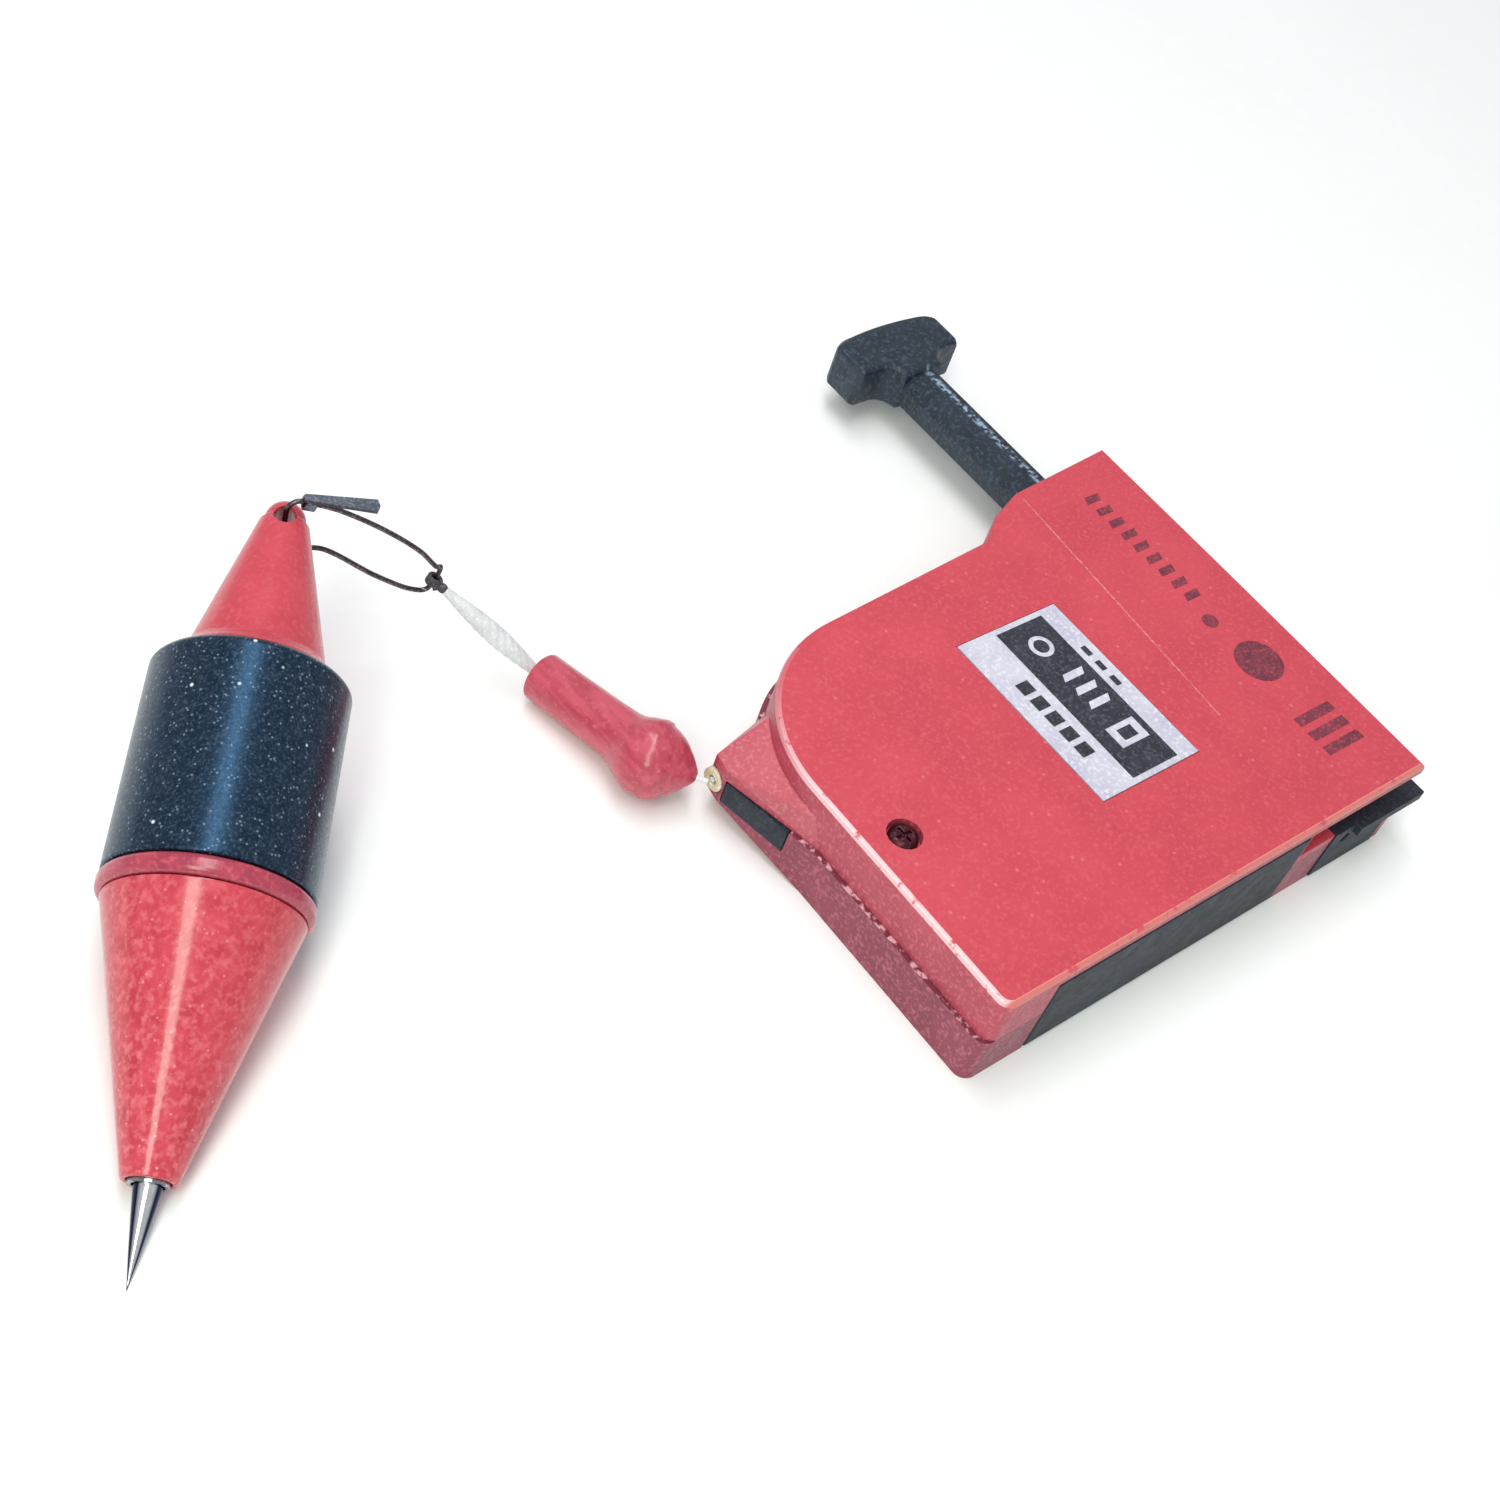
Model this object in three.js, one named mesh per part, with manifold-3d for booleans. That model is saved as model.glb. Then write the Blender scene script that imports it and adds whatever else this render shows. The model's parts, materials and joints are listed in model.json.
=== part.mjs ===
// Plumb bob with a retracting-line case. Millimetres, +Z up, everything lying on z = 0.
//
// The origin is the reel's axis on the flat back of the case. -Y is the mounting face, which is
// held against a wall or post. -X is the end that the line leaves, downwards in use. +Y is the end
// where the T-handled plunger comes out.
import * as THREE from "three";
import { mergeVertices } from "three/addons/utils/BufferGeometryUtils.js";
import { ConvexGeometry } from "three/addons/geometries/ConvexGeometry.js";
import Module from "manifold-3d";

const wasm = await Module();
wasm.setup();

// ---------------------------------------------------------------- driving dimensions
const CASE_THICKNESS = 20;
const PARTING_Z = 10; // where the two shells meet
const SEAM = 0.05; // half the gap between the shells
const WALL = 2.2;
const REEL_CORNER_R = 27.5; // the case is rounded round the reel, whose axis is the origin
const LOWER_STEP = 0.9; // the lower shell stands this far proud on the reel's side
const MOUNT_FACE_Y = -47.5;
const FAR_X = 78.5; // the end of the case beyond the plunger
const FAR_LEAN = 1.5; // the far end leans out by this much towards the back

const PLUNGER_X = 66.5;
const PLUNGER_TRAVEL = 30;
const STEM_WIDTH = 10;
const STEM_HEIGHT = 7;
const HEAD_LENGTH = 27;
const HEAD_HEIGHT = 9.4;
const HEAD_INNER_Y = 79.5;
const HEAD_OUTER_Y = 90;
const NEEDLE_SPACING = 8;
const NEEDLE_R = 0.8;
const NEEDLE_DROP = -1; // from the stem's middle

const BOB_DIAMETER = 31;
const BOB_LENGTH = 3.9 * BOB_DIAMETER;
const BOB_TIP = new THREE.Vector3(-152.3, -13.8, 0);
const BOB_HEADING = 50.6; // degrees, seen from above, from the needle's point to the eye

const LINE_R = 0.5;
const OUTLET = new THREE.Vector3(-33.4, 15.5, 7.5); // where the line bends as it leaves the nose
const STOPPER_START = 2; // from the outlet to the stopper's point
const BULB_CENTRE = new THREE.Vector3(-39, 22.8, 7); // the stopper bends at its bulb
const BULB_R = 6.9;
const TUBE_END = new THREE.Vector3(-43.2, 48.7, 4.3); // the open end of the stopper
const TUBE_R = 4.2;
const KNOT = new THREE.Vector3(-56.6, 64.6, 18); // where the leader is tied to the wire loop
const WIRE_R = 0.5;
const GAP = 0.3; // between a piece and a neighbour that is cut to it
const FIT = 0.15; // between a piece and the pocket it is let into
const PAST = 5; // how far a cutting tool runs on beyond the piece it cuts

const rad = THREE.MathUtils.degToRad;

// ---------------------------------------------------------------- materials
const finish = (color, roughness, metalness = 0) =>
  new THREE.MeshStandardMaterial({ color, roughness, metalness });

const redPlastic = finish(0xd24a58, 0.45);
const darkRedPlastic = finish(0xa84a58, 0.5);
const blackPlastic = finish(0x2c343e, 0.5);
const redPaint = finish(0xd0404c, 0.4);
const redRubber = finish(0xb03440, 0.35);
const sleeveBlack = finish(0x232b35, 0.35);
const creamPlastic = finish(0xd8cfb8, 0.5);
const labelFilm = finish(0xe6e4ea, 0.3);
const lineCord = finish(0xdddfe0, 0.7);
const knotCord = finish(0x3a3d42, 0.8);
const steel = finish(0xb8bcc2, 0.3, 1);
const darkSteel = finish(0x4a5058, 0.4, 1);
const magnetGrey = finish(0x55575c, 0.6, 0.4);

// ---------------------------------------------------------------- joining and cutting
// A closed geometry as a manifold-3d solid.
function solid(geometry) {
  const bare = geometry.clone();
  bare.deleteAttribute("normal");
  bare.deleteAttribute("uv");
  const merged = mergeVertices(bare, 1e-4);
  return new wasm.Manifold(
    new wasm.Mesh({
      numProp: 3,
      vertProperties: new Float32Array(merged.attributes.position.array),
      triVerts: new Uint32Array(merged.index.array),
    }),
  );
}

// A manifold-3d solid as a geometry with flat faces.
function surface(made) {
  const { vertProperties, triVerts } = made.getMesh();
  const geometry = new THREE.BufferGeometry();
  geometry.setAttribute("position", new THREE.BufferAttribute(vertProperties, 3));
  geometry.setIndex(new THREE.BufferAttribute(triVerts, 1));
  geometry.computeVertexNormals();
  return geometry;
}

const joined = (...parts) => parts.reduce((whole, part) => whole.add(part));
const cut = (body, ...tools) => tools.reduce((rest, tool) => rest.subtract(tool), body);

// ---------------------------------------------------------------- basic shapes, as solids
// A box between two corners.
function box([x0, y0, z0], [x1, y1, z1]) {
  const geometry = new THREE.BoxGeometry(x1 - x0, y1 - y0, z1 - z0);
  geometry.translate((x0 + x1) / 2, (y0 + y1) / 2, (z0 + z1) / 2);
  return solid(geometry);
}

// An upright cylinder.
function post(x, y, z0, z1, radius, sides = 18) {
  const geometry = new THREE.CylinderGeometry(radius, radius, z1 - z0, sides);
  geometry.rotateX(Math.PI / 2);
  geometry.translate(x, y, (z0 + z1) / 2);
  return solid(geometry);
}

// A straight round bar from one point to another.
function bar(from, to, radius, sides = 12) {
  const along = new THREE.Vector3().subVectors(to, from);
  const geometry = new THREE.CylinderGeometry(radius, radius, along.length(), sides);
  const up = new THREE.Vector3(0, 1, 0);
  geometry.applyQuaternion(
    new THREE.Quaternion().setFromUnitVectors(up, along.clone().normalize()),
  );
  const middle = new THREE.Vector3().addVectors(from, to).multiplyScalar(0.5);
  geometry.translate(middle.x, middle.y, middle.z);
  return solid(geometry);
}

// An upright prism over a closed outline, with its top edge chamfered if asked.
function prism(outline, z0, z1, chamfer = 0) {
  const shape = new THREE.Shape(outline);
  if (!chamfer) {
    const plain = new THREE.ExtrudeGeometry(shape, { depth: z1 - z0, bevelEnabled: false });
    plain.translate(0, 0, z0);
    return solid(plain);
  }
  const geometry = new THREE.ExtrudeGeometry(shape, {
    depth: z1 - z0,
    bevelThickness: chamfer,
    bevelSize: chamfer,
    bevelOffset: -chamfer,
    bevelSegments: 2,
  });
  geometry.translate(0, 0, z0 - chamfer);
  const far = 500;
  return solid(geometry).intersect(box([-far, -far, z0], [far, far, z1]));
}

// A turned piece about +Z. The profile holds [radius, height] pairs, from the bottom up.
function turned(profile, sides = 36) {
  const points = profile.map(([r, z]) => new THREE.Vector2(r, z));
  const geometry = new THREE.LatheGeometry(points, sides);
  geometry.rotateX(Math.PI / 2);
  return solid(geometry);
}

// The hull of a set of points.
function hull(points) {
  const geometry = new ConvexGeometry(points.map((p) => new THREE.Vector3(...p)));
  return solid(geometry);
}

// A round wire bent along a closed curve.
function closedWire(curve, radius, steps, sides) {
  const frames = curve.computeFrenetFrames(steps, true);
  const positions = [];
  const index = [];
  for (let i = 0; i < steps; i++) {
    const centre = curve.getPointAt(i / steps);
    for (let j = 0; j < sides; j++) {
      const turn = (2 * Math.PI * j) / sides;
      const point = centre
        .clone()
        .addScaledVector(frames.normals[i], radius * Math.cos(turn))
        .addScaledVector(frames.binormals[i], radius * Math.sin(turn));
      positions.push(point.x, point.y, point.z);
      const here = i * sides + j;
      const beside = i * sides + ((j + 1) % sides);
      const ahead = ((i + 1) % steps) * sides + j;
      const across = ((i + 1) % steps) * sides + ((j + 1) % sides);
      index.push(here, beside, ahead, beside, across, ahead);
    }
  }
  const geometry = new THREE.BufferGeometry();
  geometry.setAttribute("position", new THREE.Float32BufferAttribute(positions, 3));
  geometry.setIndex(index);
  return solid(geometry);
}

// ---------------------------------------------------------------- the scene graph
const tool = new THREE.Group();

function addTo(group, name, made, material) {
  const mesh = new THREE.Mesh(surface(made), material);
  mesh.name = name;
  group.add(mesh);
  return mesh;
}

// ---------------------------------------------------------------- case outline
// The outline seen from above. sideR is the corner radius round the reel, and the straight side
// face stands at -sideR. inset moves every edge inwards.
function caseOutline(sideR, inset = 0) {
  const r = sideR - inset;
  const cornerR = 2.5;
  const arcSteps = 14;
  const backCorners = [
    [FAR_X + FAR_LEAN, 39.6],
    [54, 37.6],
  ];
  const shoulder = [46, 34.6];
  const stepIn = new THREE.Vector2(39.5, 30.3); // from here the outline runs on to the reel's arc
  const away = Math.atan2(stepIn.y, stepIn.x);
  const tangent = away + Math.acos(REEL_CORNER_R / stepIn.length());
  const shape = new THREE.Shape();
  shape.moveTo(-r + cornerR, MOUNT_FACE_Y + inset);
  shape.lineTo(FAR_X - inset, MOUNT_FACE_Y + inset);
  shape.lineTo(backCorners[0][0] - inset, backCorners[0][1] - inset);
  shape.lineTo(backCorners[1][0], backCorners[1][1] - inset);
  shape.lineTo(shoulder[0] + inset / 2, shoulder[1] - inset);
  shape.lineTo(stepIn.x + inset / 2, stepIn.y - inset);
  shape.absarc(0, 0, r, tangent, Math.PI, false);
  shape.absarc(-r + cornerR, MOUNT_FACE_Y + inset + cornerR, cornerR, Math.PI, 1.5 * Math.PI, false);
  return shape.extractPoints(arcSteps).shape;
}

// ---------------------------------------------------------------- the nose that the line leaves
const NOSE_BACK = [-17.4, 21.2]; // meets the round of the reel housing
const NOSE_TOP = [-31.8, 16.9];
const NOSE_FRONT = [-32.4, 13.4];
const NOSE_FOOT = [-28.4, -6]; // runs out on the side face of the lower shell
const UPPER_FOOT = [-27.4, -6]; // and of the upper shell
const NOSE_ROOT = [-8, 0]; // inside the case, where its hollow is cut away again

// The lower half is undercut, so that its point stands clear of the table.
function lowerNose() {
  const ceiling = PARTING_Z - SEAM;
  const undercutZ = 4.5;
  const undercutX = -28.6;
  const points = [[...NOSE_ROOT, ceiling], [...NOSE_ROOT, 0]];
  for (const [x, y] of [NOSE_BACK, NOSE_TOP, NOSE_FRONT, NOSE_FOOT]) points.push([x, y, ceiling]);
  for (const [x, y] of [NOSE_TOP, NOSE_FRONT]) points.push([x, y, undercutZ]);
  for (const [x, y] of [NOSE_BACK, [undercutX, 15.8], [undercutX, 12], NOSE_FOOT]) {
    points.push([x, y, 0]);
  }
  return hull(points);
}

// The upper half slopes from the side of the reel housing down to the point.
function upperNose() {
  const floor = PARTING_Z + SEAM;
  const tipZ = 12.2;
  const ridgeZ = 15.6;
  const ridgeR = REEL_CORNER_R - 0.2;
  const points = [[...NOSE_ROOT, floor]];
  for (const [x, y] of [NOSE_BACK, NOSE_TOP, NOSE_FRONT, UPPER_FOOT]) points.push([x, y, floor]);
  for (const [x, y] of [NOSE_TOP, NOSE_FRONT]) points.push([x, y, tipZ]);
  for (let angle = 140; angle <= 190; angle += 5) {
    const turn = rad(angle);
    points.push([ridgeR * Math.cos(turn), ridgeR * Math.sin(turn), ridgeZ]);
  }
  return hull(points);
}

// ---------------------------------------------------------------- pockets shared by both shells
// The black strip along the mounting face.
const STRIP = { x0: -15, x1: 47.5, back: -42, z0: 0.4, z1: 17.7 };
const stripPocket = () =>
  box(
    [STRIP.x0 - FIT, MOUNT_FACE_Y - PAST, -PAST],
    [STRIP.x1 + FIT, STRIP.back + FIT, STRIP.z1 + FIT],
  );

// The black block that guides the needles, and the gap over it.
const GUIDE = { x0: 58, x1: 76, back: -31, z0: 0.4, z1: 12 };
const LIP = { x0: 64, x1: 82.4, back: -41.5, z0: 9.8 };
const guidePocket = () =>
  joined(
    box(
      [GUIDE.x0 - FIT, MOUNT_FACE_Y - PAST, -PAST],
      [GUIDE.x1 + FIT, GUIDE.back + FIT, GUIDE.z1 + FIT],
    ),
    box(
      [LIP.x0, MOUNT_FACE_Y - PAST, LIP.z0 - FIT],
      [LIP.x1 + PAST, LIP.back + FIT, GUIDE.z1 + FIT],
    ),
  );
const cornerGap = () =>
  box([STRIP.x1 + 0.5, MOUNT_FACE_Y - PAST, GUIDE.z1], [FAR_X + PAST, -40, CASE_THICKNESS - WALL]);

// The hole in the back wall for the plunger's stem.
const STEM_Z0 = PARTING_Z - STEM_HEIGHT / 2;
const STEM_Z1 = PARTING_Z + STEM_HEIGHT / 2;
const STEM_PLAY = 0.4;
const RAIL_REACH = { y0: -25, y1: 30 }; // the ribs beside the stem
const CROSS_RIB = { y0: 24, y1: 26 };
const stemHole = () =>
  box(
    [PLUNGER_X - STEM_WIDTH / 2 - STEM_PLAY, CROSS_RIB.y0 - PAST, STEM_Z0 - STEM_PLAY],
    [PLUNGER_X + STEM_WIDTH / 2 + STEM_PLAY, RAIL_REACH.y1 + 20, STEM_Z1 + STEM_PLAY],
  );

// Two ribs beside the stem and one across it, with the opening for the stem still to be cut.
function plungerRibs(z0, z1) {
  const ribIn = STEM_WIDTH / 2 + 2.4;
  const rib = 1.2;
  const across = box(
    [PLUNGER_X - ribIn, CROSS_RIB.y0, z0],
    [PLUNGER_X + ribIn, CROSS_RIB.y1, z1],
  );
  const left = box(
    [PLUNGER_X - ribIn - rib, RAIL_REACH.y0, z0],
    [PLUNGER_X - ribIn, RAIL_REACH.y1, z1],
  );
  const right = box(
    [PLUNGER_X + ribIn, RAIL_REACH.y0, z0],
    [PLUNGER_X + ribIn + rib, RAIL_REACH.y1, z1],
  );
  return joined(across, left, right);
}

// The line's way from the reel out through the nose, with a seat for the eyelet.
const EYELET_R = 2.2;
const EYELET_END = -30.4;
function linePath() {
  const mouth = new THREE.Vector3(OUTLET.x - 2, OUTLET.y, OUTLET.z);
  const inside = new THREE.Vector3(-14, OUTLET.y + 1.8, OUTLET.z);
  const seatEnd = new THREE.Vector3(EYELET_END + FIT, OUTLET.y, OUTLET.z);
  const channelR = 1.2;
  return joined(bar(mouth, inside, channelR), bar(mouth, seatEnd, EYELET_R + FIT, 20));
}

// A slab let into the side of the nose from NOSE_FRONT on: the black line guide, and its seat.
const guideDirection = new THREE.Vector2(NOSE_FOOT[0] - NOSE_FRONT[0], NOSE_FOOT[1] - NOSE_FRONT[1]);
guideDirection.normalize();
function noseSlab(start, end, proud, depth, z0, z1) {
  const inward = new THREE.Vector2(-guideDirection.y, guideDirection.x);
  const corner = (along, across) =>
    new THREE.Vector2(...NOSE_FRONT)
      .addScaledVector(guideDirection, along)
      .addScaledVector(inward, across);
  return prism(
    [corner(start, -proud), corner(end, -proud), corner(end, depth), corner(start, depth)],
    z0,
    z1,
  );
}

const LINE_GUIDE = { start: 0.8, end: 14, proud: 0.3, depth: 2.4, z0: 5.2 };

// Screws: one from the top beside the reel, three from the back.
const TOP_SCREW = [-19.9, -14.2];
const BACK_SCREWS = [
  [-20.5, -36],
  [43, -34],
  [42, 22],
];
const SHANK_R = 1.4;
const SHANK_HOLE_R = SHANK_R + 0.2;
const HEAD_R = 2.6;
const HEAD_DEPTH = 1.8; // of the counterbores

const LABEL = { x0: 16, x1: 40, y0: -25, y1: 12.6, z0: 19.75, z1: 20.15 };

// ---------------------------------------------------------------- reel dimensions
const HUB_R = 12;
const FLANGE_R = 20;
const COIL_R = 17;
const REEL_Z0 = 4.4;
const REEL_Z1 = 15.6;
const FLANGE = 1.2;
const AXLE = { r: 2.5, z0: 2.3, z1: 17.4 };
const AXLE_BOSS_R = 5;

// ---------------------------------------------------------------- case shells
function upperShell() {
  const floor = PARTING_Z + SEAM;
  const roof = CASE_THICKNESS - WALL;
  let body = prism(caseOutline(REEL_CORNER_R), floor, CASE_THICKNESS, 0.9);
  body = joined(body, upperNose());
  body = cut(body, prism(caseOutline(REEL_CORNER_R, WALL), 0, roof));

  // bosses for the screws, and one that steadies the reel's axle
  const bossTop = CASE_THICKNESS - 1;
  const [tx, ty] = TOP_SCREW;
  body = joined(body, post(tx, ty, floor, bossTop, 3.9));
  for (const [x, y] of BACK_SCREWS) body = joined(body, post(x, y, floor, bossTop, 3.6));
  body = joined(body, post(0, 0, REEL_Z1 + 0.7, bossTop, AXLE_BOSS_R));

  // ribs that guide the plunger
  body = joined(body, plungerRibs(floor, roof + 0.5));

  const wayOut = CASE_THICKNESS + PAST;
  const counterbore = post(tx, ty, CASE_THICKNESS - HEAD_DEPTH, wayOut, HEAD_R + 0.5);
  body = cut(body, post(tx, ty, 0, wayOut, SHANK_HOLE_R), counterbore);
  for (const [x, y] of BACK_SCREWS) body = cut(body, post(x, y, 0, 15, SHANK_HOLE_R));
  body = cut(body, post(0, 0, 0, AXLE.z1 + 0.2, AXLE.r + 0.2));
  body = cut(body, stripPocket(), guidePocket(), cornerGap(), stemHole());

  // a shallow recess for the label
  const recess = box(
    [LABEL.x0 - 0.2, LABEL.y0 - 0.2, LABEL.z0 - 0.05],
    [LABEL.x1 + 0.2, LABEL.y1 + 0.2, wayOut],
  );

  // the band over the plunger dips by 0.6 towards the handle, and runs out level with the rest
  const dip = 0.6;
  const farOut = FAR_X + 2 * PAST;
  const band = [];
  for (const top of [CASE_THICKNESS - dip, wayOut]) band.push([54.8, 45, top], [farOut, 45, top]);
  for (const top of [CASE_THICKNESS, wayOut]) band.push([49.5, -30, top], [farOut, -30, top]);
  return cut(body, recess, hull(band));
}

function lowerShell() {
  const ceiling = PARTING_Z - SEAM;
  const sideR = REEL_CORNER_R + LOWER_STEP;
  let body = joined(prism(caseOutline(sideR), 0, ceiling), lowerNose());
  body = cut(body, prism(caseOutline(sideR, WALL + 0.4), WALL, CASE_THICKNESS));

  const [tx, ty] = TOP_SCREW;
  body = joined(body, post(tx, ty, 1, ceiling, 3.6));
  for (const [x, y] of BACK_SCREWS) body = joined(body, post(x, y, 0, ceiling, 4.4));
  body = joined(body, post(0, 0, 1, REEL_Z0 - 0.5, AXLE_BOSS_R));

  body = joined(body, plungerRibs(1, ceiling));

  body = cut(body, post(tx, ty, 4, CASE_THICKNESS, SHANK_HOLE_R));
  for (const [x, y] of BACK_SCREWS) {
    const counterbore = post(x, y, -PAST, HEAD_DEPTH + 0.2, HEAD_R + 0.3);
    body = cut(body, post(x, y, -PAST, CASE_THICKNESS, SHANK_HOLE_R), counterbore);
  }
  body = cut(body, post(0, 0, AXLE.z0 - 0.3, CASE_THICKNESS, AXLE.r + 0.2));
  body = cut(body, stripPocket(), guidePocket(), stemHole(), linePath());
  const seat = noseSlab(
    LINE_GUIDE.start - 0.2,
    LINE_GUIDE.end + 0.2,
    PAST,
    LINE_GUIDE.depth + 0.2,
    LINE_GUIDE.z0 - 0.2,
    CASE_THICKNESS,
  );
  return cut(body, seat);
}

function buildCase() {
  addTo(tool, "upper_shell", upperShell(), redPlastic);
  addTo(tool, "lower_shell", lowerShell(), darkRedPlastic);

  // black strip with a magnet let into its back at each end
  const magnet = { margin: 4, length: 24, depth: 3.6, z0: 3, z1: 15, play: 0.1 };
  const reach = magnet.margin + magnet.length;
  const magnets = [
    [STRIP.x0 + magnet.margin, STRIP.x0 + reach],
    [STRIP.x1 - reach, STRIP.x1 - magnet.margin],
  ];
  const magnetFront = STRIP.back - magnet.depth;
  let strip = box(
    [STRIP.x0, MOUNT_FACE_Y - 0.2, STRIP.z0],
    [STRIP.x1, STRIP.back, STRIP.z1],
  );
  for (const [x0, x1] of magnets) {
    strip = cut(strip, box([x0, magnetFront, magnet.z0], [x1, STRIP.back + 1, magnet.z1]));
  }
  addTo(tool, "magnet_strip", strip, blackPlastic);
  magnets.forEach(([x0, x1], i) => {
    const made = box(
      [x0 + magnet.play, magnetFront + magnet.play, magnet.z0 + magnet.play],
      [x1 - magnet.play, STRIP.back - magnet.play, magnet.z1 - magnet.play],
    );
    addTo(tool, "magnet_" + (i + 1), made, magnetGrey);
  });

  // needle guide: a block with two holes, and a lip along its top edge
  let guide = box([GUIDE.x0, MOUNT_FACE_Y - 0.3, GUIDE.z0], [GUIDE.x1, GUIDE.back, GUIDE.z1]);
  const lip = box([LIP.x0, MOUNT_FACE_Y - 1.5, LIP.z0], [LIP.x1, LIP.back, GUIDE.z1]);
  guide = joined(guide, lip);
  for (const side of [-1, 1]) {
    const x = PLUNGER_X + (side * NEEDLE_SPACING) / 2;
    const from = new THREE.Vector3(x, MOUNT_FACE_Y - 2 * PAST, PARTING_Z + NEEDLE_DROP);
    const to = new THREE.Vector3(x, GUIDE.back + PAST, PARTING_Z + NEEDLE_DROP);
    guide = cut(guide, bar(from, to, NEEDLE_R + 0.35));
  }
  addTo(tool, "needle_guide", guide, blackPlastic);

  // label on the top face
  const label = box([LABEL.x0, LABEL.y0, LABEL.z0], [LABEL.x1, LABEL.y1, LABEL.z1]);
  addTo(tool, "label_plate", label, labelFilm);

  // line guide in the side of the nose, and the eyelet at its point
  const { start, end, proud, depth, z0 } = LINE_GUIDE;
  const lineGuide = noseSlab(start, end, proud, depth, z0, PARTING_Z - 0.2);
  addTo(tool, "line_guide", lineGuide, blackPlastic);
  const eyeletFrom = new THREE.Vector3(OUTLET.x + 0.8, OUTLET.y, OUTLET.z);
  const eyeletTo = new THREE.Vector3(EYELET_END, OUTLET.y, OUTLET.z);
  const beyond = new THREE.Vector3(5, 0, 0);
  const eyelet = cut(
    bar(eyeletFrom, eyeletTo, EYELET_R, 20),
    bar(eyeletFrom.clone().sub(beyond), eyeletTo.clone().add(beyond), LINE_R + 0.4, 16),
  );
  addTo(tool, "outlet_eyelet", eyelet, creamPlastic);
}

// ---------------------------------------------------------------- screws
// A pan-head screw with a cross slot, standing on its point.
function screwShape(length) {
  const headHeight = 1.5;
  let made = turned(
    [
      [0, 0],
      [SHANK_R * 0.5, 0],
      [SHANK_R, 1.5],
      [SHANK_R, length],
      [HEAD_R, length],
      [HEAD_R, length + headHeight * 0.6],
      [HEAD_R * 0.7, length + headHeight],
      [0, length + headHeight],
    ],
    20,
  );
  const slot = length + headHeight - 0.7;
  made = cut(made, box([-1.5, -0.3, slot], [1.5, 0.3, slot + 2]));
  return cut(made, box([-0.3, -1.5, slot], [0.3, 1.5, slot + 2]));
}

function buildScrews() {
  const topLength = 11.5;
  const top = addTo(tool, "case_screw_top", screwShape(topLength), darkSteel);
  top.position.set(...TOP_SCREW, 18.4 - topLength);
  const backLength = 12;
  BACK_SCREWS.forEach(([x, y], i) => {
    const screw = addTo(tool, "case_screw_back_" + (i + 1), screwShape(backLength), darkSteel);
    screw.rotation.x = Math.PI;
    screw.position.set(x, y, 1.9 + backLength);
  });
}

// ---------------------------------------------------------------- reel
function reelDrum() {
  const cupR = HUB_R - 1.2;
  const cupFloor = REEL_Z0 + 1.6;
  const boreR = AXLE.r + GAP;
  return turned(
    [
      [boreR, REEL_Z0],
      [FLANGE_R, REEL_Z0],
      [FLANGE_R, REEL_Z0 + FLANGE],
      [HUB_R, REEL_Z0 + FLANGE],
      [HUB_R, REEL_Z1 - FLANGE],
      [FLANGE_R, REEL_Z1 - FLANGE],
      [FLANGE_R, REEL_Z1],
      [cupR, REEL_Z1],
      [cupR, cupFloor],
      [boreR, cupFloor],
      [boreR, REEL_Z0],
    ],
    40,
  );
}

// The flat spring that winds the line back, coiled in the drum's cup round the axle.
function powerSpring() {
  const turns = 3;
  const innerR = 3.6;
  const outerR = 10.2;
  const strip = 0.35;
  const steps = turns * 20;
  const edge = (i, offset) => {
    const turn = (2 * Math.PI * turns * i) / steps;
    const r = innerR + ((outerR - innerR) * i) / steps + offset;
    return new THREE.Vector2(r * Math.cos(turn), r * Math.sin(turn));
  };
  const outline = [];
  for (let i = 0; i <= steps; i++) outline.push(edge(i, strip));
  for (let i = steps; i >= 0; i--) outline.push(edge(i, 0));
  return prism(outline, REEL_Z0 + 2, REEL_Z1 - 1.8);
}

function buildReel() {
  addTo(tool, "reel_axle", post(0, 0, AXLE.z0, AXLE.z1, AXLE.r), steel);
  addTo(tool, "reel_drum", reelDrum(), creamPlastic);
  const coil = cut(
    post(0, 0, REEL_Z0 + FLANGE + GAP, REEL_Z1 - FLANGE - GAP, COIL_R, 40),
    post(0, 0, 0, CASE_THICKNESS, HUB_R + GAP, 40),
  );
  addTo(tool, "wound_line", coil, lineCord);
  addTo(tool, "power_spring", powerSpring(), steel);

  // the straight run of line from the coil to the eyelet
  const leaves = new THREE.Vector3(-2.5, COIL_R + 1.1, OUTLET.z);
  const arrives = new THREE.Vector3(OUTLET.x + 1, OUTLET.y, OUTLET.z);
  addTo(tool, "line_run", bar(leaves, arrives, LINE_R), lineCord);
}

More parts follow.
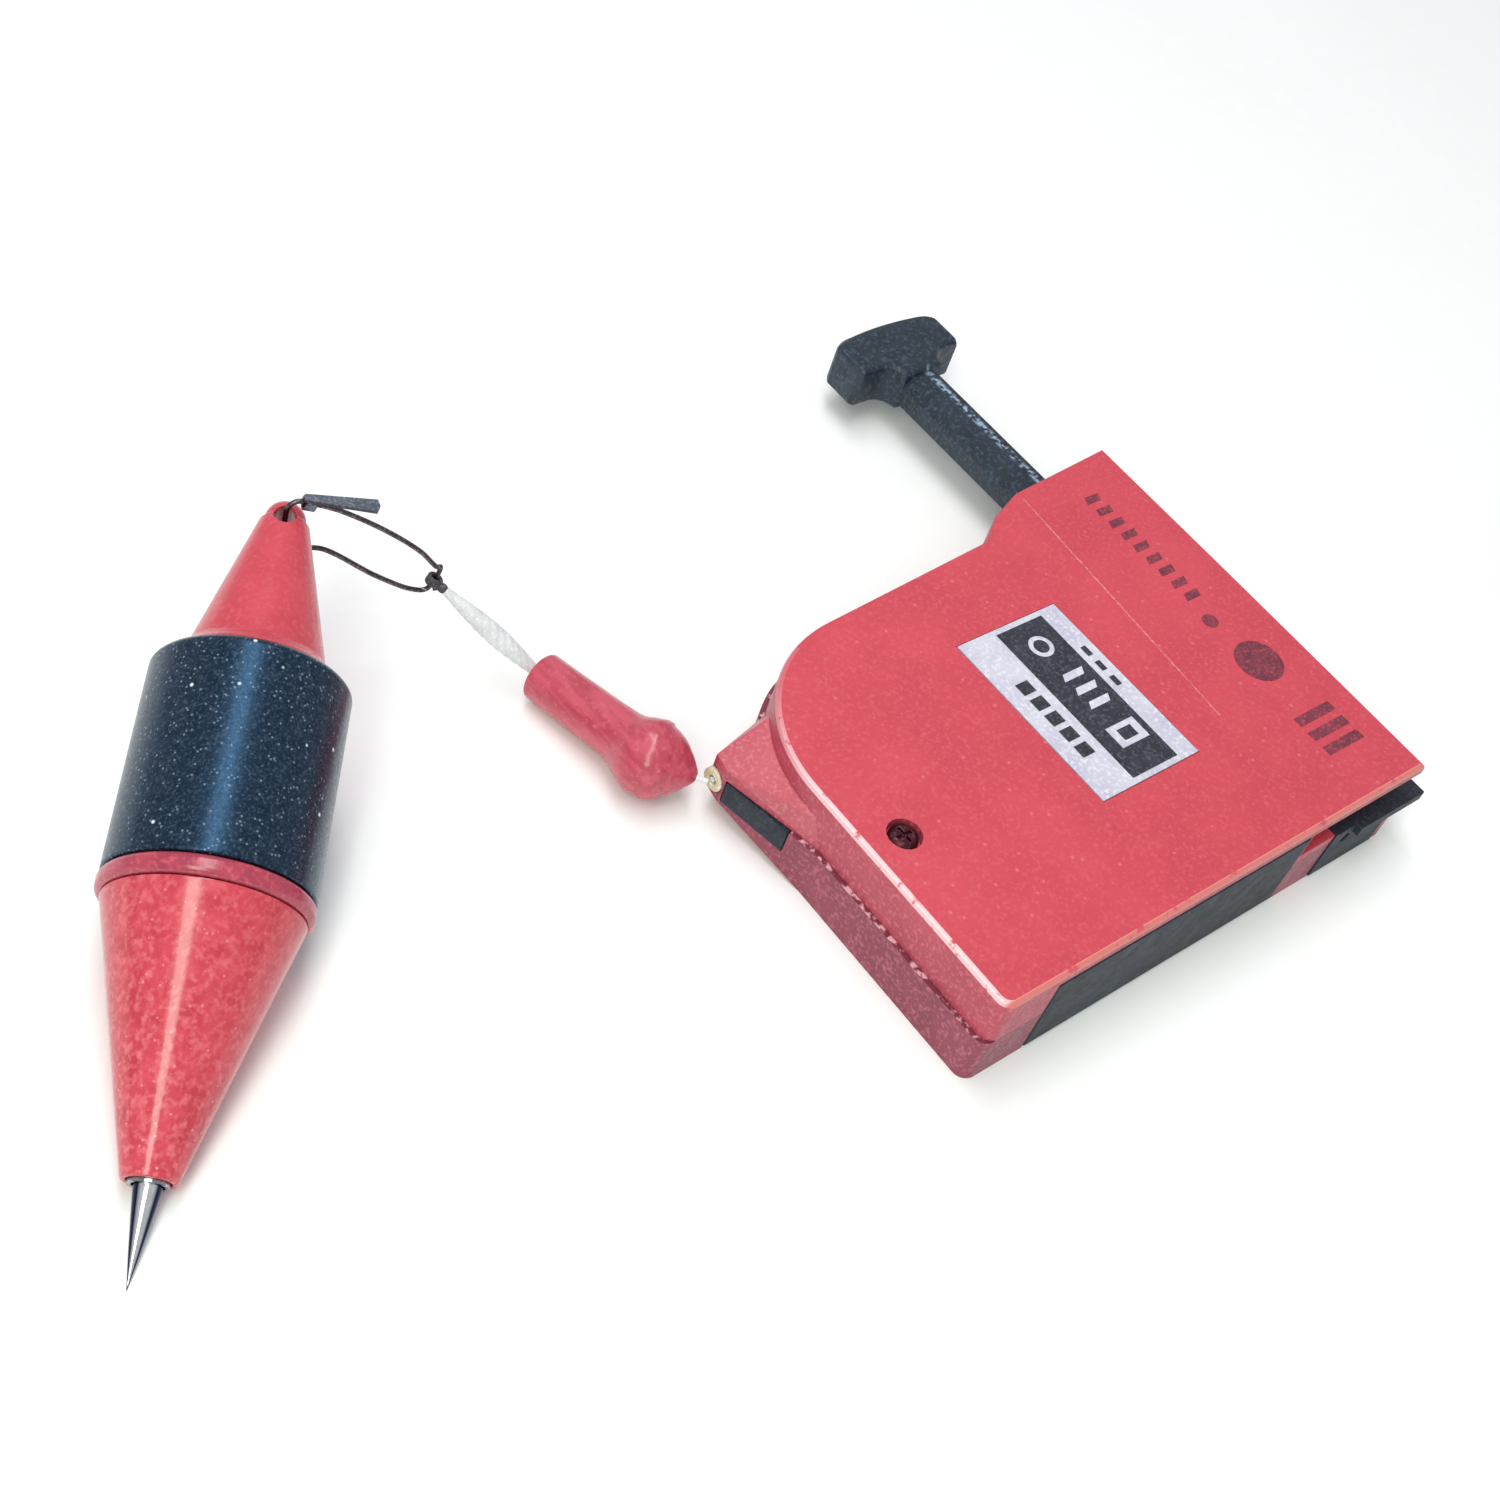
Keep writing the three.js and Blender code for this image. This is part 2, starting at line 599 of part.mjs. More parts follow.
// ---------------------------------------------------------------- plunger
// The T handle: a stem with chamfered edges, flared into a head with a domed outer face.
function handle() {
  const w = STEM_WIDTH / 2;
  const h = STEM_HEIGHT / 2;
  const topChamfer = 2.2;
  const lowChamfer = 1;
  const section = [
    [-w + lowChamfer, -h],
    [w - lowChamfer, -h],
    [w, -h + lowChamfer],
    [w, h - topChamfer],
    [w - topChamfer, h],
    [-w + topChamfer, h],
    [-w, h - topChamfer],
    [-w, -h + lowChamfer],
  ].map(([x, z]) => new THREE.Vector2(x, z));
  const stemEnd = HEAD_INNER_Y + 3;
  const stemStart = 5.8;
  const stem = new THREE.ExtrudeGeometry(new THREE.Shape(section), {
    depth: stemEnd - stemStart,
    bevelEnabled: false,
  });
  stem.rotateX(Math.PI / 2);
  stem.translate(0, stemEnd, 0);

  // the head's outline from above: flared shoulders, square ends and a domed outer face
  const half = HEAD_LENGTH / 2;
  const crown = new THREE.Shape();
  crown.moveTo(-w, HEAD_INNER_Y - 4);
  crown.lineTo(w, HEAD_INNER_Y - 4);
  crown.quadraticCurveTo(w + 0.4, HEAD_INNER_Y, w + 4, HEAD_INNER_Y);
  crown.lineTo(half - 0.8, HEAD_INNER_Y);
  crown.lineTo(half, HEAD_INNER_Y + 1.2);
  crown.lineTo(half, HEAD_OUTER_Y - 2.8);
  crown.quadraticCurveTo(half - 1, HEAD_OUTER_Y - 0.6, half - 5, HEAD_OUTER_Y - 0.4);
  crown.quadraticCurveTo(0, HEAD_OUTER_Y + 0.6, -half + 5, HEAD_OUTER_Y - 0.4);
  crown.quadraticCurveTo(-half + 1, HEAD_OUTER_Y - 0.6, -half, HEAD_OUTER_Y - 2.8);
  crown.lineTo(-half, HEAD_INNER_Y + 1.2);
  crown.lineTo(-half + 0.8, HEAD_INNER_Y);
  crown.lineTo(-w - 4, HEAD_INNER_Y);
  crown.quadraticCurveTo(-w - 0.4, HEAD_INNER_Y, -w, HEAD_INNER_Y - 4);
  const edge = 1.3;
  const head = new THREE.ExtrudeGeometry(crown, {
    depth: HEAD_HEIGHT - 2 * edge,
    bevelThickness: edge,
    bevelSize: edge,
    bevelOffset: -edge,
    bevelSegments: 3,
    curveSegments: 8,
  });
  head.translate(0, 0, -HEAD_HEIGHT / 2 + edge);
  return joined(solid(stem), solid(head));
}

function buildPlunger() {
  const plunger = new THREE.Group();
  plunger.position.set(PLUNGER_X, 0, PARTING_Z);
  tool.add(plunger);
  addTo(plunger, "plunger_handle", handle(), blackPlastic);

  // a steel crosspiece on the stem's end carries both needles
  const carrierFront = 0.5;
  const carrierBack = 5.5;
  let carrier = box([-6.6, carrierFront, -3], [6.6, carrierBack, 2.4]);
  const needleY = { point: -34, start: carrierBack - 0.8 };
  for (const side of [-1, 1]) {
    const x = (side * NEEDLE_SPACING) / 2;
    const mouth = new THREE.Vector3(x, -PAST, NEEDLE_DROP);
    const bottom = new THREE.Vector3(x, needleY.start + FIT, NEEDLE_DROP);
    carrier = cut(carrier, bar(mouth, bottom, NEEDLE_R + FIT));
  }
  addTo(plunger, "needle_carrier", carrier, steel);
  for (const [name, side] of [
    ["fixing_needle_1", -1],
    ["fixing_needle_2", 1],
  ]) {
    const length = needleY.start - needleY.point;
    const needle = turned(
      [
        [0, 0],
        [NEEDLE_R * 0.3, 1.6],
        [NEEDLE_R, 6],
        [NEEDLE_R, length],
        [0, length],
      ],
      12,
    );
    const mesh = addTo(plunger, name, needle, steel);
    mesh.rotation.x = -Math.PI / 2;
    mesh.position.set((side * NEEDLE_SPACING) / 2, needleY.point, NEEDLE_DROP);
  }
}

// ---------------------------------------------------------------- line, stopper, leader, loop
const heading = (degrees) => new THREE.Vector3(Math.cos(rad(degrees)), Math.sin(rad(degrees)), 0);

// A group whose +Z runs along a direction.
function along(origin, direction) {
  const group = new THREE.Group();
  group.position.copy(origin);
  group.quaternion.setFromUnitVectors(
    new THREE.Vector3(0, 0, 1),
    direction.clone().normalize(),
  );
  tool.add(group);
  return group;
}

function buildLine() {
  // the end of the line between the eyelet and the stopper
  const out = new THREE.Vector3().subVectors(BULB_CENTRE, OUTLET).setZ(0).normalize();
  const tailEnd = OUTLET.clone().addScaledVector(out, STOPPER_START - GAP);
  const bend = new THREE.SphereGeometry(LINE_R, 12, 8);
  bend.translate(OUTLET.x, OUTLET.y, OUTLET.z);
  addTo(tool, "line_tail", joined(solid(bend), bar(OUTLET, tailEnd, LINE_R)), lineCord);

  // rubber stopper: a bulb and a tube drilled for the leader, with a snout towards the outlet
  const tubeWay = new THREE.Vector3().subVectors(TUBE_END, BULB_CENTRE);
  const tubeLength = tubeWay.length();
  tubeWay.normalize();
  const bulbTop = 4.6;
  const profile = [];
  for (let angle = -90; angle <= 0; angle += 15) {
    profile.push([BULB_R * Math.cos(rad(angle)), BULB_R * Math.sin(rad(angle))]);
  }
  profile[0][0] = 0;
  profile.push(
    [BULB_R, 1.4],
    [BULB_R - 0.5, 3.2],
    [TUBE_R + 0.9, bulbTop + 2.4],
    [TUBE_R, tubeLength - 0.6],
    [TUBE_R - 0.6, tubeLength],
    [1.5, tubeLength],
    [1.5, tubeLength - 10],
    [0, tubeLength - 10],
  );
  const body = new THREE.Mesh(surface(turned(profile, 28)));
  body.position.copy(BULB_CENTRE);
  body.quaternion.setFromUnitVectors(new THREE.Vector3(0, 0, 1), tubeWay);
  body.updateMatrix();
  const snoutPoint = OUTLET.clone().addScaledVector(out, STOPPER_START);
  const snout = new THREE.Mesh(
    surface(turned([[0, 0], [0.8, 0], [4.4, 4.2], [5.8, 8], [0, 8]], 28)),
  );
  snout.position.copy(snoutPoint);
  snout.lookAt(BULB_CENTRE);
  snout.updateMatrix();
  const placed = (mesh) => solid(mesh.geometry.clone().applyMatrix4(mesh.matrix));
  addTo(tool, "line_stopper", joined(placed(body), placed(snout)), redRubber);

  // leader cord from the stopper up to the knot on the wire loop
  const leaderWay = new THREE.Vector3().subVectors(KNOT, TUBE_END);
  const leaderLength = leaderWay.length();
  leaderWay.normalize();
  const knotReach = 3.2;
  const cord = turned(
    [
      [0, 0.3],
      [0.6, 0.3],
      [1.5, leaderLength * 0.3],
      [1.7, leaderLength * 0.5],
      [1.5, leaderLength * 0.68],
      [0.6, leaderLength - knotReach - 0.15],
      [0, leaderLength - knotReach - 0.15],
    ],
    12,
  );
  addTo(along(TUBE_END, leaderWay), "leader_cord", cord, lineCord);

  // the knot: a ring of cord round the wire, and the bead it is tied off with
  const ring = new THREE.TorusGeometry(1.55, 0.6, 8, 16);
  const wireWay = loopWay.clone().multiplyScalar(Math.sin(KNOT_LEAN)).setZ(Math.cos(KNOT_LEAN));
  ring.applyQuaternion(
    new THREE.Quaternion().setFromUnitVectors(new THREE.Vector3(0, 0, 1), wireWay),
  );
  ring.translate(KNOT.x, KNOT.y, KNOT.z);
  const bead = new THREE.SphereGeometry(1.1, 12, 8);
  const beadCentre = KNOT.clone().addScaledVector(leaderWay, -2.1);
  bead.translate(beadCentre.x, beadCentre.y, beadCentre.z);
  addTo(tool, "leader_knot", joined(solid(ring), solid(bead)), knotCord);
}

// ---------------------------------------------------------------- bob
// Stations along its axis, from the needle's point.
const COLLAR_WIDTH = 3.2;
const BOB = {
  cone: 0.468 * BOB_DIAMETER,
  collar: 1.821 * BOB_DIAMETER - COLLAR_WIDTH,
  sleeve: 1.821 * BOB_DIAMETER,
  top: 2.912 * BOB_DIAMETER,
  eye: BOB_LENGTH - 3.9,
};
const SPIGOT_START = BOB.collar - 14; // the core's spigot is screwed into the lower cone
const COLLAR_R = BOB_DIAMETER / 2;
const COLLAR_CHAMFER = 0.4;
const CONE_MOUTH_R = 3.9;
const CONE_TOP_R = 14.6;
const SLEEVE_R = COLLAR_R - 0.2;
const SLEEVE_TAPER = 0.4;
const CORE_R = 13;
const SPIGOT_R = 6;
const EYE_R = 1.8;

// The bob lies on its collar's rim and its needle's point.
const BOB_TILT = Math.atan(COLLAR_R / (BOB.collar + COLLAR_CHAMFER));
const bobWay = heading(BOB_HEADING).multiplyScalar(Math.cos(BOB_TILT)).setZ(Math.sin(BOB_TILT));
const BOB_LIFT = 0.1; // keeps the collar's rim off the floor
const bobOrigin = BOB_TIP.clone().setZ(BOB_LIFT);
const EYE = bobOrigin.clone().addScaledVector(bobWay, BOB.eye);

// The wire loop stands upright between the eye and the knot, and leans a little at the knot.
const loopWay = new THREE.Vector3(KNOT.x - EYE.x, KNOT.y - EYE.y, 0).normalize();
const KNOT_LEAN = rad(19);

function upperCone() {
  const domeR = 3.2;
  const domeZ = BOB_LENGTH - domeR;
  const profile = [
    [0, BOB.top + 8.4],
    [5.3, BOB.top + 8.4],
    [5.3, BOB.top + 0.2],
    [12.6, BOB.top + 0.2],
    [12.2, BOB.top + 1.2],
    [10.4, BOB.top + 3],
    [domeR + 0.7, domeZ - 0.8],
  ];
  for (let angle = 0; angle < 90; angle += 15) {
    profile.push([domeR * Math.cos(rad(angle)), domeZ + domeR * Math.sin(rad(angle))]);
  }
  profile.push([0, BOB_LENGTH]);
  const reach = new THREE.Vector3(8, 0, 0);
  const eye = new THREE.Vector3(0, 0, BOB.eye);
  return cut(turned(profile, 40), bar(eye.clone().sub(reach), eye.clone().add(reach), EYE_R, 20));
}

function buildBob() {
  // +Z runs up the bob from the needle's point, and +X lies in the upright plane through it
  const bob = new THREE.Group();
  const sideways = heading(BOB_HEADING + 90);
  const across = new THREE.Vector3().crossVectors(sideways, bobWay);
  bob.quaternion.setFromRotationMatrix(new THREE.Matrix4().makeBasis(across, sideways, bobWay));
  bob.position.copy(bobOrigin);
  tool.add(bob);

  addTo(
    bob,
    "bob_needle",
    turned([[0, 0], [0.8, 5], [1.5, 10], [2.1, BOB.cone], [2.1, 26], [0, 26]], 20),
    steel,
  );
  const collet = cut(
    post(0, 0, BOB.cone - 0.5, 26.5, 2.9),
    post(0, 0, 0, 40, 2.35),
  );
  addTo(bob, "needle_collet", collet, steel);
  const lowerCone = turned(
    [
      [0, 29],
      [3.1, 29],
      [3.1, BOB.cone],
      [CONE_MOUTH_R, BOB.cone],
      [CONE_TOP_R, BOB.collar - 0.2],
      [SPIGOT_R + GAP, BOB.collar - 0.2],
      [SPIGOT_R + GAP, SPIGOT_START - 0.4],
      [0, SPIGOT_START - 0.4],
    ],
    40,
  );
  addTo(bob, "lower_cone", lowerCone, redPaint);
  const collar = turned(
    [
      [SPIGOT_R + GAP, BOB.collar],
      [COLLAR_R - COLLAR_CHAMFER, BOB.collar],
      [COLLAR_R, BOB.collar + COLLAR_CHAMFER],
      [COLLAR_R, BOB.sleeve - 0.6],
      [SLEEVE_R, BOB.sleeve - 0.2],
      [SPIGOT_R + GAP, BOB.sleeve - 0.2],
      [SPIGOT_R + GAP, BOB.collar],
    ],
    40,
  );
  addTo(bob, "bob_collar", collar, redPaint);
  const core = turned(
    [
      [0, SPIGOT_START],
      [SPIGOT_R, SPIGOT_START],
      [SPIGOT_R, BOB.sleeve],
      [CORE_R, BOB.sleeve],
      [CORE_R, BOB.top],
      [5, BOB.top],
      [5, BOB.top + 8],
      [0, BOB.top + 8],
    ],
    40,
  );
  addTo(bob, "bob_weight", core, steel);
  const sleeve = turned(
    [
      [CORE_R + 0.25, BOB.sleeve],
      [SLEEVE_R, BOB.sleeve],
      [SLEEVE_R - SLEEVE_TAPER, BOB.top - 0.8],
      [SLEEVE_R - SLEEVE_TAPER - 0.8, BOB.top],
      [CORE_R + 0.25, BOB.top],
      [CORE_R + 0.25, BOB.sleeve],
    ],
    40,
  );
  addTo(bob, "bob_sleeve", sleeve, sleeveBlack);
  addTo(bob, "upper_cone", upperCone(), redPaint);
}

const TAB_HEADING = rad(-33);

// The wire loop, straight through the bob's eye at one end and through the knot at the other.
function buildLoop() {
  const reach = Math.hypot(KNOT.x - EYE.x, KNOT.y - EYE.y);
  const drop = EYE.z - KNOT.z;
  const at = (u, z) => EYE.clone().addScaledVector(loopWay, u).add(new THREE.Vector3(0, 0, z));
  const far = reach + 0.6;
  const curve = new THREE.CatmullRomCurve3(
    [
      at(0, 0),
      at(0, 2.6),
      at(0.3, 4.2),
      at(1.6, 5.1),
      at(4, 4.4),
      at(8, 2.8),
      at(16, -2.2),
      at(far - 3.8, -7.6),
      at(far - 0.5, -11.4),
      at(far, -drop + 3.2),
      at(reach, -drop),
      at(reach - 1.2, -drop - 1.9),
      at(reach - 3.6, -drop - 1.6),
      at(16, -12.6),
      at(6.5, -5.6),
      at(3.4, -5),
      at(0.6, -4.2),
      at(0, -2.6),
    ],
    true,
    "centripetal",
  );
  addTo(tool, "wire_loop", closedWire(curve, WIRE_R, 64, 8), darkSteel);

  // a flat steel tab clipped round the wire where it leaves the eye
  const clip = { from: at(2.6, 4.85), to: at(4.2, 4.35) };
  const beyond = new THREE.Vector3().subVectors(clip.to, clip.from).multiplyScalar(2);
  const ring = cut(
    bar(clip.from, clip.to, 1.25, 16),
    bar(clip.from.clone().sub(beyond), clip.to.clone().add(beyond), WIRE_R + 0.35, 16),
  );
  const tabShape = new THREE.Shape();
  tabShape.moveTo(0, -0.7);
  tabShape.lineTo(11, -1.3);
  tabShape.lineTo(11.4, 0);
  tabShape.lineTo(11, 1.3);
  tabShape.lineTo(0, 0.7);
  const tab = new THREE.ExtrudeGeometry(tabShape, { depth: 0.6, bevelEnabled: false });
  tab.rotateZ(TAB_HEADING);
  const root = at(2.6, 5.4);
  tab.translate(root.x, root.y, root.z);
  addTo(tool, "loop_tab", joined(ring, solid(tab)), darkSteel);
}

buildCase();
buildScrews();
buildReel();
buildPlunger();
buildLine();
buildBob();
buildLoop();

export default tool;
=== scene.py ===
"""Looks for the plumb bob with a retracting line case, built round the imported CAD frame."""
import json
import math

import bmesh
import bpy
from mathutils import Matrix, Quaternion, Vector
from mathutils.bvhtree import BVHTree


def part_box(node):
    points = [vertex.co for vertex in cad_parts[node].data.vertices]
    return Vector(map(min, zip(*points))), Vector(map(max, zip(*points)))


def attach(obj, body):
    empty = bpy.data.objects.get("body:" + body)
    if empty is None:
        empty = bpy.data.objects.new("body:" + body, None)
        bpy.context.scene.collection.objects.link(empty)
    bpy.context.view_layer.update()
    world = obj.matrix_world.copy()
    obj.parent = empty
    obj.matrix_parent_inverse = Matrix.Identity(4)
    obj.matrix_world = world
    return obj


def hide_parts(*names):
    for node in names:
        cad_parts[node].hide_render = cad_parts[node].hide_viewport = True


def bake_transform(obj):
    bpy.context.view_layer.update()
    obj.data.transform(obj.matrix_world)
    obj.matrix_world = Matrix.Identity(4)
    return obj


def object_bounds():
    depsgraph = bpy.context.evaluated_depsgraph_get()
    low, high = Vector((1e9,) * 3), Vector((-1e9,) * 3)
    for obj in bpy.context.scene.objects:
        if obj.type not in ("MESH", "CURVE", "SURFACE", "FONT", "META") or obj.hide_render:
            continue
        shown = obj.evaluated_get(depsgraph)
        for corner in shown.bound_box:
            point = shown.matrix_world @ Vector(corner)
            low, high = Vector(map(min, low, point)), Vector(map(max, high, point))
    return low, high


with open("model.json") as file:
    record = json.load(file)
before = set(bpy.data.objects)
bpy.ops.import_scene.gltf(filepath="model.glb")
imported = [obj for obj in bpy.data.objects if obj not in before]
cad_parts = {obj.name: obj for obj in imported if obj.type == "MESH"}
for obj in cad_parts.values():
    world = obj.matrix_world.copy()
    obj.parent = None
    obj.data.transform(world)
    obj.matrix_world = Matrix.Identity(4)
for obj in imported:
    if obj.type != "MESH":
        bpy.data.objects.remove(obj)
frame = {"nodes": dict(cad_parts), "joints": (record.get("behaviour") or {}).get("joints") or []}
cad_low, cad_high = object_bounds()
nodes = frame["nodes"]
scene = bpy.context.scene
scene.view_settings.view_transform = "Standard"
scene.view_settings.look = "None"

MM = 0.001
UP = Vector((0, 0, 1))


# ---------------------------------------------------------------- places taken from the frame
def joint_place(name):
    """Where a hinge stands, in metres."""
    return Vector(next(j["pos_m"] for j in frame["joints"] if j["name"] == name))


def vertices(node):
    return [v.co.copy() for v in nodes[node].data.vertices]


def stations(node, origin, axis):
    """The first and last station of a turned node along its axis, and its greatest radius."""
    steps = [(p - origin).dot(axis) for p in vertices(node)]
    radii = [((p - origin) - axis * s).length for p, s in zip(vertices(node), steps)]
    return min(steps), max(steps), max(radii)


outlet = joint_place("line_swing")
tube_end = joint_place("leader_bend")
knot_place = joint_place("loop_bend")
eye_place = joint_place("bob_swing")
bob_tip = max(vertices("bob_needle"), key=lambda p: (p - eye_place).length)
bob_axis = (eye_place - bob_tip).normalized()
loop_way = (knot_place - eye_place).to_2d().to_3d().normalized()


# ---------------------------------------------------------------- materials
def rgb(red, green, blue):
    """A colour given as it looks on a screen, 0 to 255, as linear light."""
    def linear(value):
        share = value / 255
        return share / 12.92 if share <= 0.04045 else ((share + 0.055) / 1.055) ** 2.4
    return (linear(red), linear(green), linear(blue), 1.0)


class Look:
    """A node material in the making."""

    def __init__(self, name, roughness=0.5, metallic=0.0):
        self.material = bpy.data.materials.new(name)
        self.material.use_nodes = True
        self.tree = self.material.node_tree
        self.tree.nodes.clear()
        self.shader = self.add("ShaderNodeBsdfPrincipled")
        self.shader.inputs["Roughness"].default_value = roughness
        self.shader.inputs["Metallic"].default_value = metallic
        end = self.add("ShaderNodeOutputMaterial")
        self.tree.links.new(self.shader.outputs["BSDF"], end.inputs["Surface"])
        self.place = self.add("ShaderNodeTexCoord").outputs["Object"]
        self.heights = []

    def add(self, kind, **settings):
        node = self.tree.nodes.new(kind)
        for key, value in settings.items():
            setattr(node, key, value)
        return node

    def feed(self, node, name, value):
        """Sets an input to a value, or links it to an output."""
        if isinstance(value, bpy.types.NodeSocket):
            self.tree.links.new(value, node.inputs[name])
        else:
            node.inputs[name].default_value = value

    def noise(self, size, detail=2.0, stretch=None):
        """Soft noise whose blotches are about size millimetres across."""
        node = self.add("ShaderNodeTexNoise")
        self.feed(node, "Vector", self.stretched(stretch) if stretch else self.place)
        self.feed(node, "Scale", 1 / (size * MM))
        self.feed(node, "Detail", detail)
        return node.outputs["Fac"]

    def stretched(self, stretch):
        node = self.add("ShaderNodeMapping")
        self.feed(node, "Vector", self.place)
        self.feed(node, "Scale", stretch)
        return node.outputs["Vector"]

    def cells(self, size, output="Color"):
        """Random cells about size millimetres across."""
        node = self.add("ShaderNodeTexVoronoi")
        self.feed(node, "Vector", self.place)
        self.feed(node, "Scale", 1 / (size * MM))
        return node.outputs[output]

    def math(self, operation, first, second=0.0):
        node = self.add("ShaderNodeMath", operation=operation)
        for slot, value in enumerate((first, second)):
            self.feed(node, slot, value)
        return node.outputs[0]

    def between(self, value, low, high, to_low=0.0, to_high=1.0):
        """Maps low..high to to_low..to_high, held at both ends."""
        node = self.add("ShaderNodeMapRange")
        for name, given in (
            ("Value", value),
            ("From Min", low),
            ("From Max", high),
            ("To Min", to_low),
            ("To Max", to_high),
        ):
            self.feed(node, name, given)
        return node.outputs["Result"]

    def mix(self, share, first, second):
        node = self.add("ShaderNodeMix", data_type="RGBA")
        self.feed(node, 0, share)
        self.feed(node, 6, first)
        self.feed(node, 7, second)
        return node.outputs[2]

    def flecks(self, size, share, spread=0.55):
        """A mask of separate round flecks: share of the cells hold one."""
        picked = self.add("ShaderNodeSeparateColor")
        self.feed(picked, 0, self.cells(size))
        chosen = self.math("GREATER_THAN", picked.outputs[0], 1 - share)
        near = self.between(self.cells(size, "Distance"), spread, spread * 0.4)
        return self.math("MULTIPLY", chosen, near)

    def set(self, name, value):
        self.feed(self.shader, name, value)

    def relief(self, height, depth):
        """Adds a bump of depth millimetres."""
        self.heights.append(self.math("MULTIPLY", height, depth * MM))

    def done(self):
        if self.heights:
            total = self.heights[0]
            for height in self.heights[1:]:
                total = self.math("ADD", total, height)
            bump = self.add("ShaderNodeBump")
            self.feed(bump, "Height", total)
            self.feed(bump, "Distance", 1.0)
            self.set("Normal", bump.outputs["Normal"])
        return self.material


def mottled(look, dark, middle, light, coarse, fine):
    """A colour that wanders between three tones at two scales."""
    broad = look.between(look.noise(coarse, 3), 0.35, 0.65)
    base = look.mix(broad, dark, middle)
    return look.mix(look.between(look.noise(fine, 2), 0.5, 0.72), base, light)


def moulded_plastic(name, dark, middle, light, roughness=0.42, grain=0.012, fleck=None):
    look = Look(name)
    colour = mottled(look, dark, middle, light, 14, 0.7)
    if fleck:
        colour = look.mix(look.flecks(1.3, 0.045, 0.34), colour, fleck)
    look.set("Base Color", colour)
    rough = look.between(look.noise(3, 3), 0.3, 0.7, roughness - 0.06, roughness + 0.08)
    look.set("Roughness", rough)
    look.relief(look.noise(0.35, 2), grain)
    look.relief(look.noise(4, 2), grain * 3)
    return look.done()


def case_red():
    return moulded_plastic(
        "case_red", rgb(198, 64, 79), rgb(207, 70, 84), rgb(212, 82, 95), 0.42, 0.012, rgb(216, 104, 112)
    )


# The case red painted darker for the upper shell's side faces: painted shade.
def case_side_painted_shade():
    return moulded_plastic("case_side_painted_shade", rgb(168, 62, 80), rgb(184, 70, 88), rgb(206, 96, 112), 0.42)


def nose_red():
    return moulded_plastic("nose_red", rgb(190, 82, 96), rgb(198, 92, 105), rgb(210, 116, 126), 0.4, 0.02)


def painted_rim_highlight():
    """A painted highlight along the case's rim: pale, orange on the front edge, with the case red showing
    through here and there and more towards the back.
    """
    look = Look("painted_rim_highlight", 0.32)
    split = look.add("ShaderNodeSeparateXYZ")
    look.feed(split, 0, look.place)
    # painted highlight colours: orange along the front edge, pale along the rest of the rim
    in_front = look.between(split.outputs["Y"], -46.2 * MM, -46.8 * MM)
    pale = look.mix(in_front, rgb(240, 194, 198), rgb(214, 116, 108))
    whole = look.between(look.noise(1.6, 3), 0.58, 0.7)
    at_back = look.between(split.outputs["Y"], -2 * MM, 20 * MM, 0, 0.9)
    share = look.math("MAXIMUM", whole, at_back)
    look.set("Base Color", look.mix(share, pale, rgb(207, 80, 94)))
    look.relief(look.noise(0.5, 2), 0.02)
    return look.done()


def painted_seam_highlight():
    """The lower shell's ledge: a painted highlight in short pale dashes."""
    look = Look("painted_seam_highlight", 0.45)
    dashes = look.between(look.noise(1.5, 3), 0.5, 0.6)
    look.set("Base Color", look.mix(dashes, rgb(120, 46, 66), rgb(226, 172, 182)))
    look.relief(look.noise(0.5, 2), 0.03)
    return look.done()


# The lower shell's red painted darker than the top: painted shade.
def case_dark_red():
    return moulded_plastic(
        "case_dark_red", rgb(124, 48, 68), rgb(146, 58, 78), rgb(182, 92, 112), 0.42, 0.02
    )


def black_plastic():
    return moulded_plastic(
        "black_plastic", rgb(17, 24, 35), rgb(27, 36, 49), rgb(46, 58, 74), 0.62, 0.02
    )


def stem_painted_highlight(look):
    """A mask of a painted highlight in dashes along one side of the plunger's stem."""
    split = look.add("ShaderNodeSeparateXYZ")
    look.feed(split, 0, look.place)
    highlight_x = 67.6 * MM
    away = look.math("ABSOLUTE", look.math("SUBTRACT", split.outputs["X"], highlight_x))
    along = look.between(away, 1.1 * MM, 0.3 * MM)
    high = look.between(split.outputs["Z"], 12.2 * MM, 12.8 * MM)
    on_stem = look.between(split.outputs["Y"], 77 * MM, 74 * MM)
    highlight_dashes = look.between(look.noise(1.1, 3), 0.48, 0.6)
    mask = look.math("MULTIPLY", along, high)
    mask = look.math("MULTIPLY", mask, on_stem)
    return look.math("MULTIPLY", mask, highlight_dashes)


def slate_plastic():
    look = Look("slate_plastic")
    colour = mottled(look, rgb(20, 30, 43), rgb(32, 44, 58), rgb(58, 74, 92), 5, 0.8)
    # the stem's painted highlight, pale blue
    colour = look.mix(stem_painted_highlight(look), colour, rgb(150, 172, 196))
    look.set("Base Color", colour)
    look.set("Roughness", look.between(look.noise(2, 3), 0.3, 0.7, 0.34, 0.55))
    look.relief(look.noise(0.4, 2), 0.02)
    look.relief(look.noise(2.5, 2), 0.05)
    return look.done()


def red_enamel():
    """Smooth red enamel, slightly uneven."""
    look = Look("red_enamel")
    look.set("Base Color", mottled(look, rgb(196, 64, 78), rgb(204, 72, 86), rgb(210, 82, 95), 5, 0.8))
    look.set("Roughness", look.between(look.noise(1.5, 2), 0.3, 0.7, 0.2, 0.28))
    look.relief(look.noise(0.9, 2), 0.015)
    return look.done()


def shaded_collar_enamel():
    """The collar's enamel, painted darker than the cones as painted shade."""
    look = Look("shaded_collar_enamel")
    look.set("Base Color", mottled(look, rgb(158, 56, 78), rgb(178, 66, 86), rgb(200, 84, 100), 4, 0.8))
    look.set("Roughness", look.between(look.noise(1.5, 2), 0.3, 0.7, 0.18, 0.26))
    look.relief(look.noise(0.9, 2), 0.015)
    return look.done()


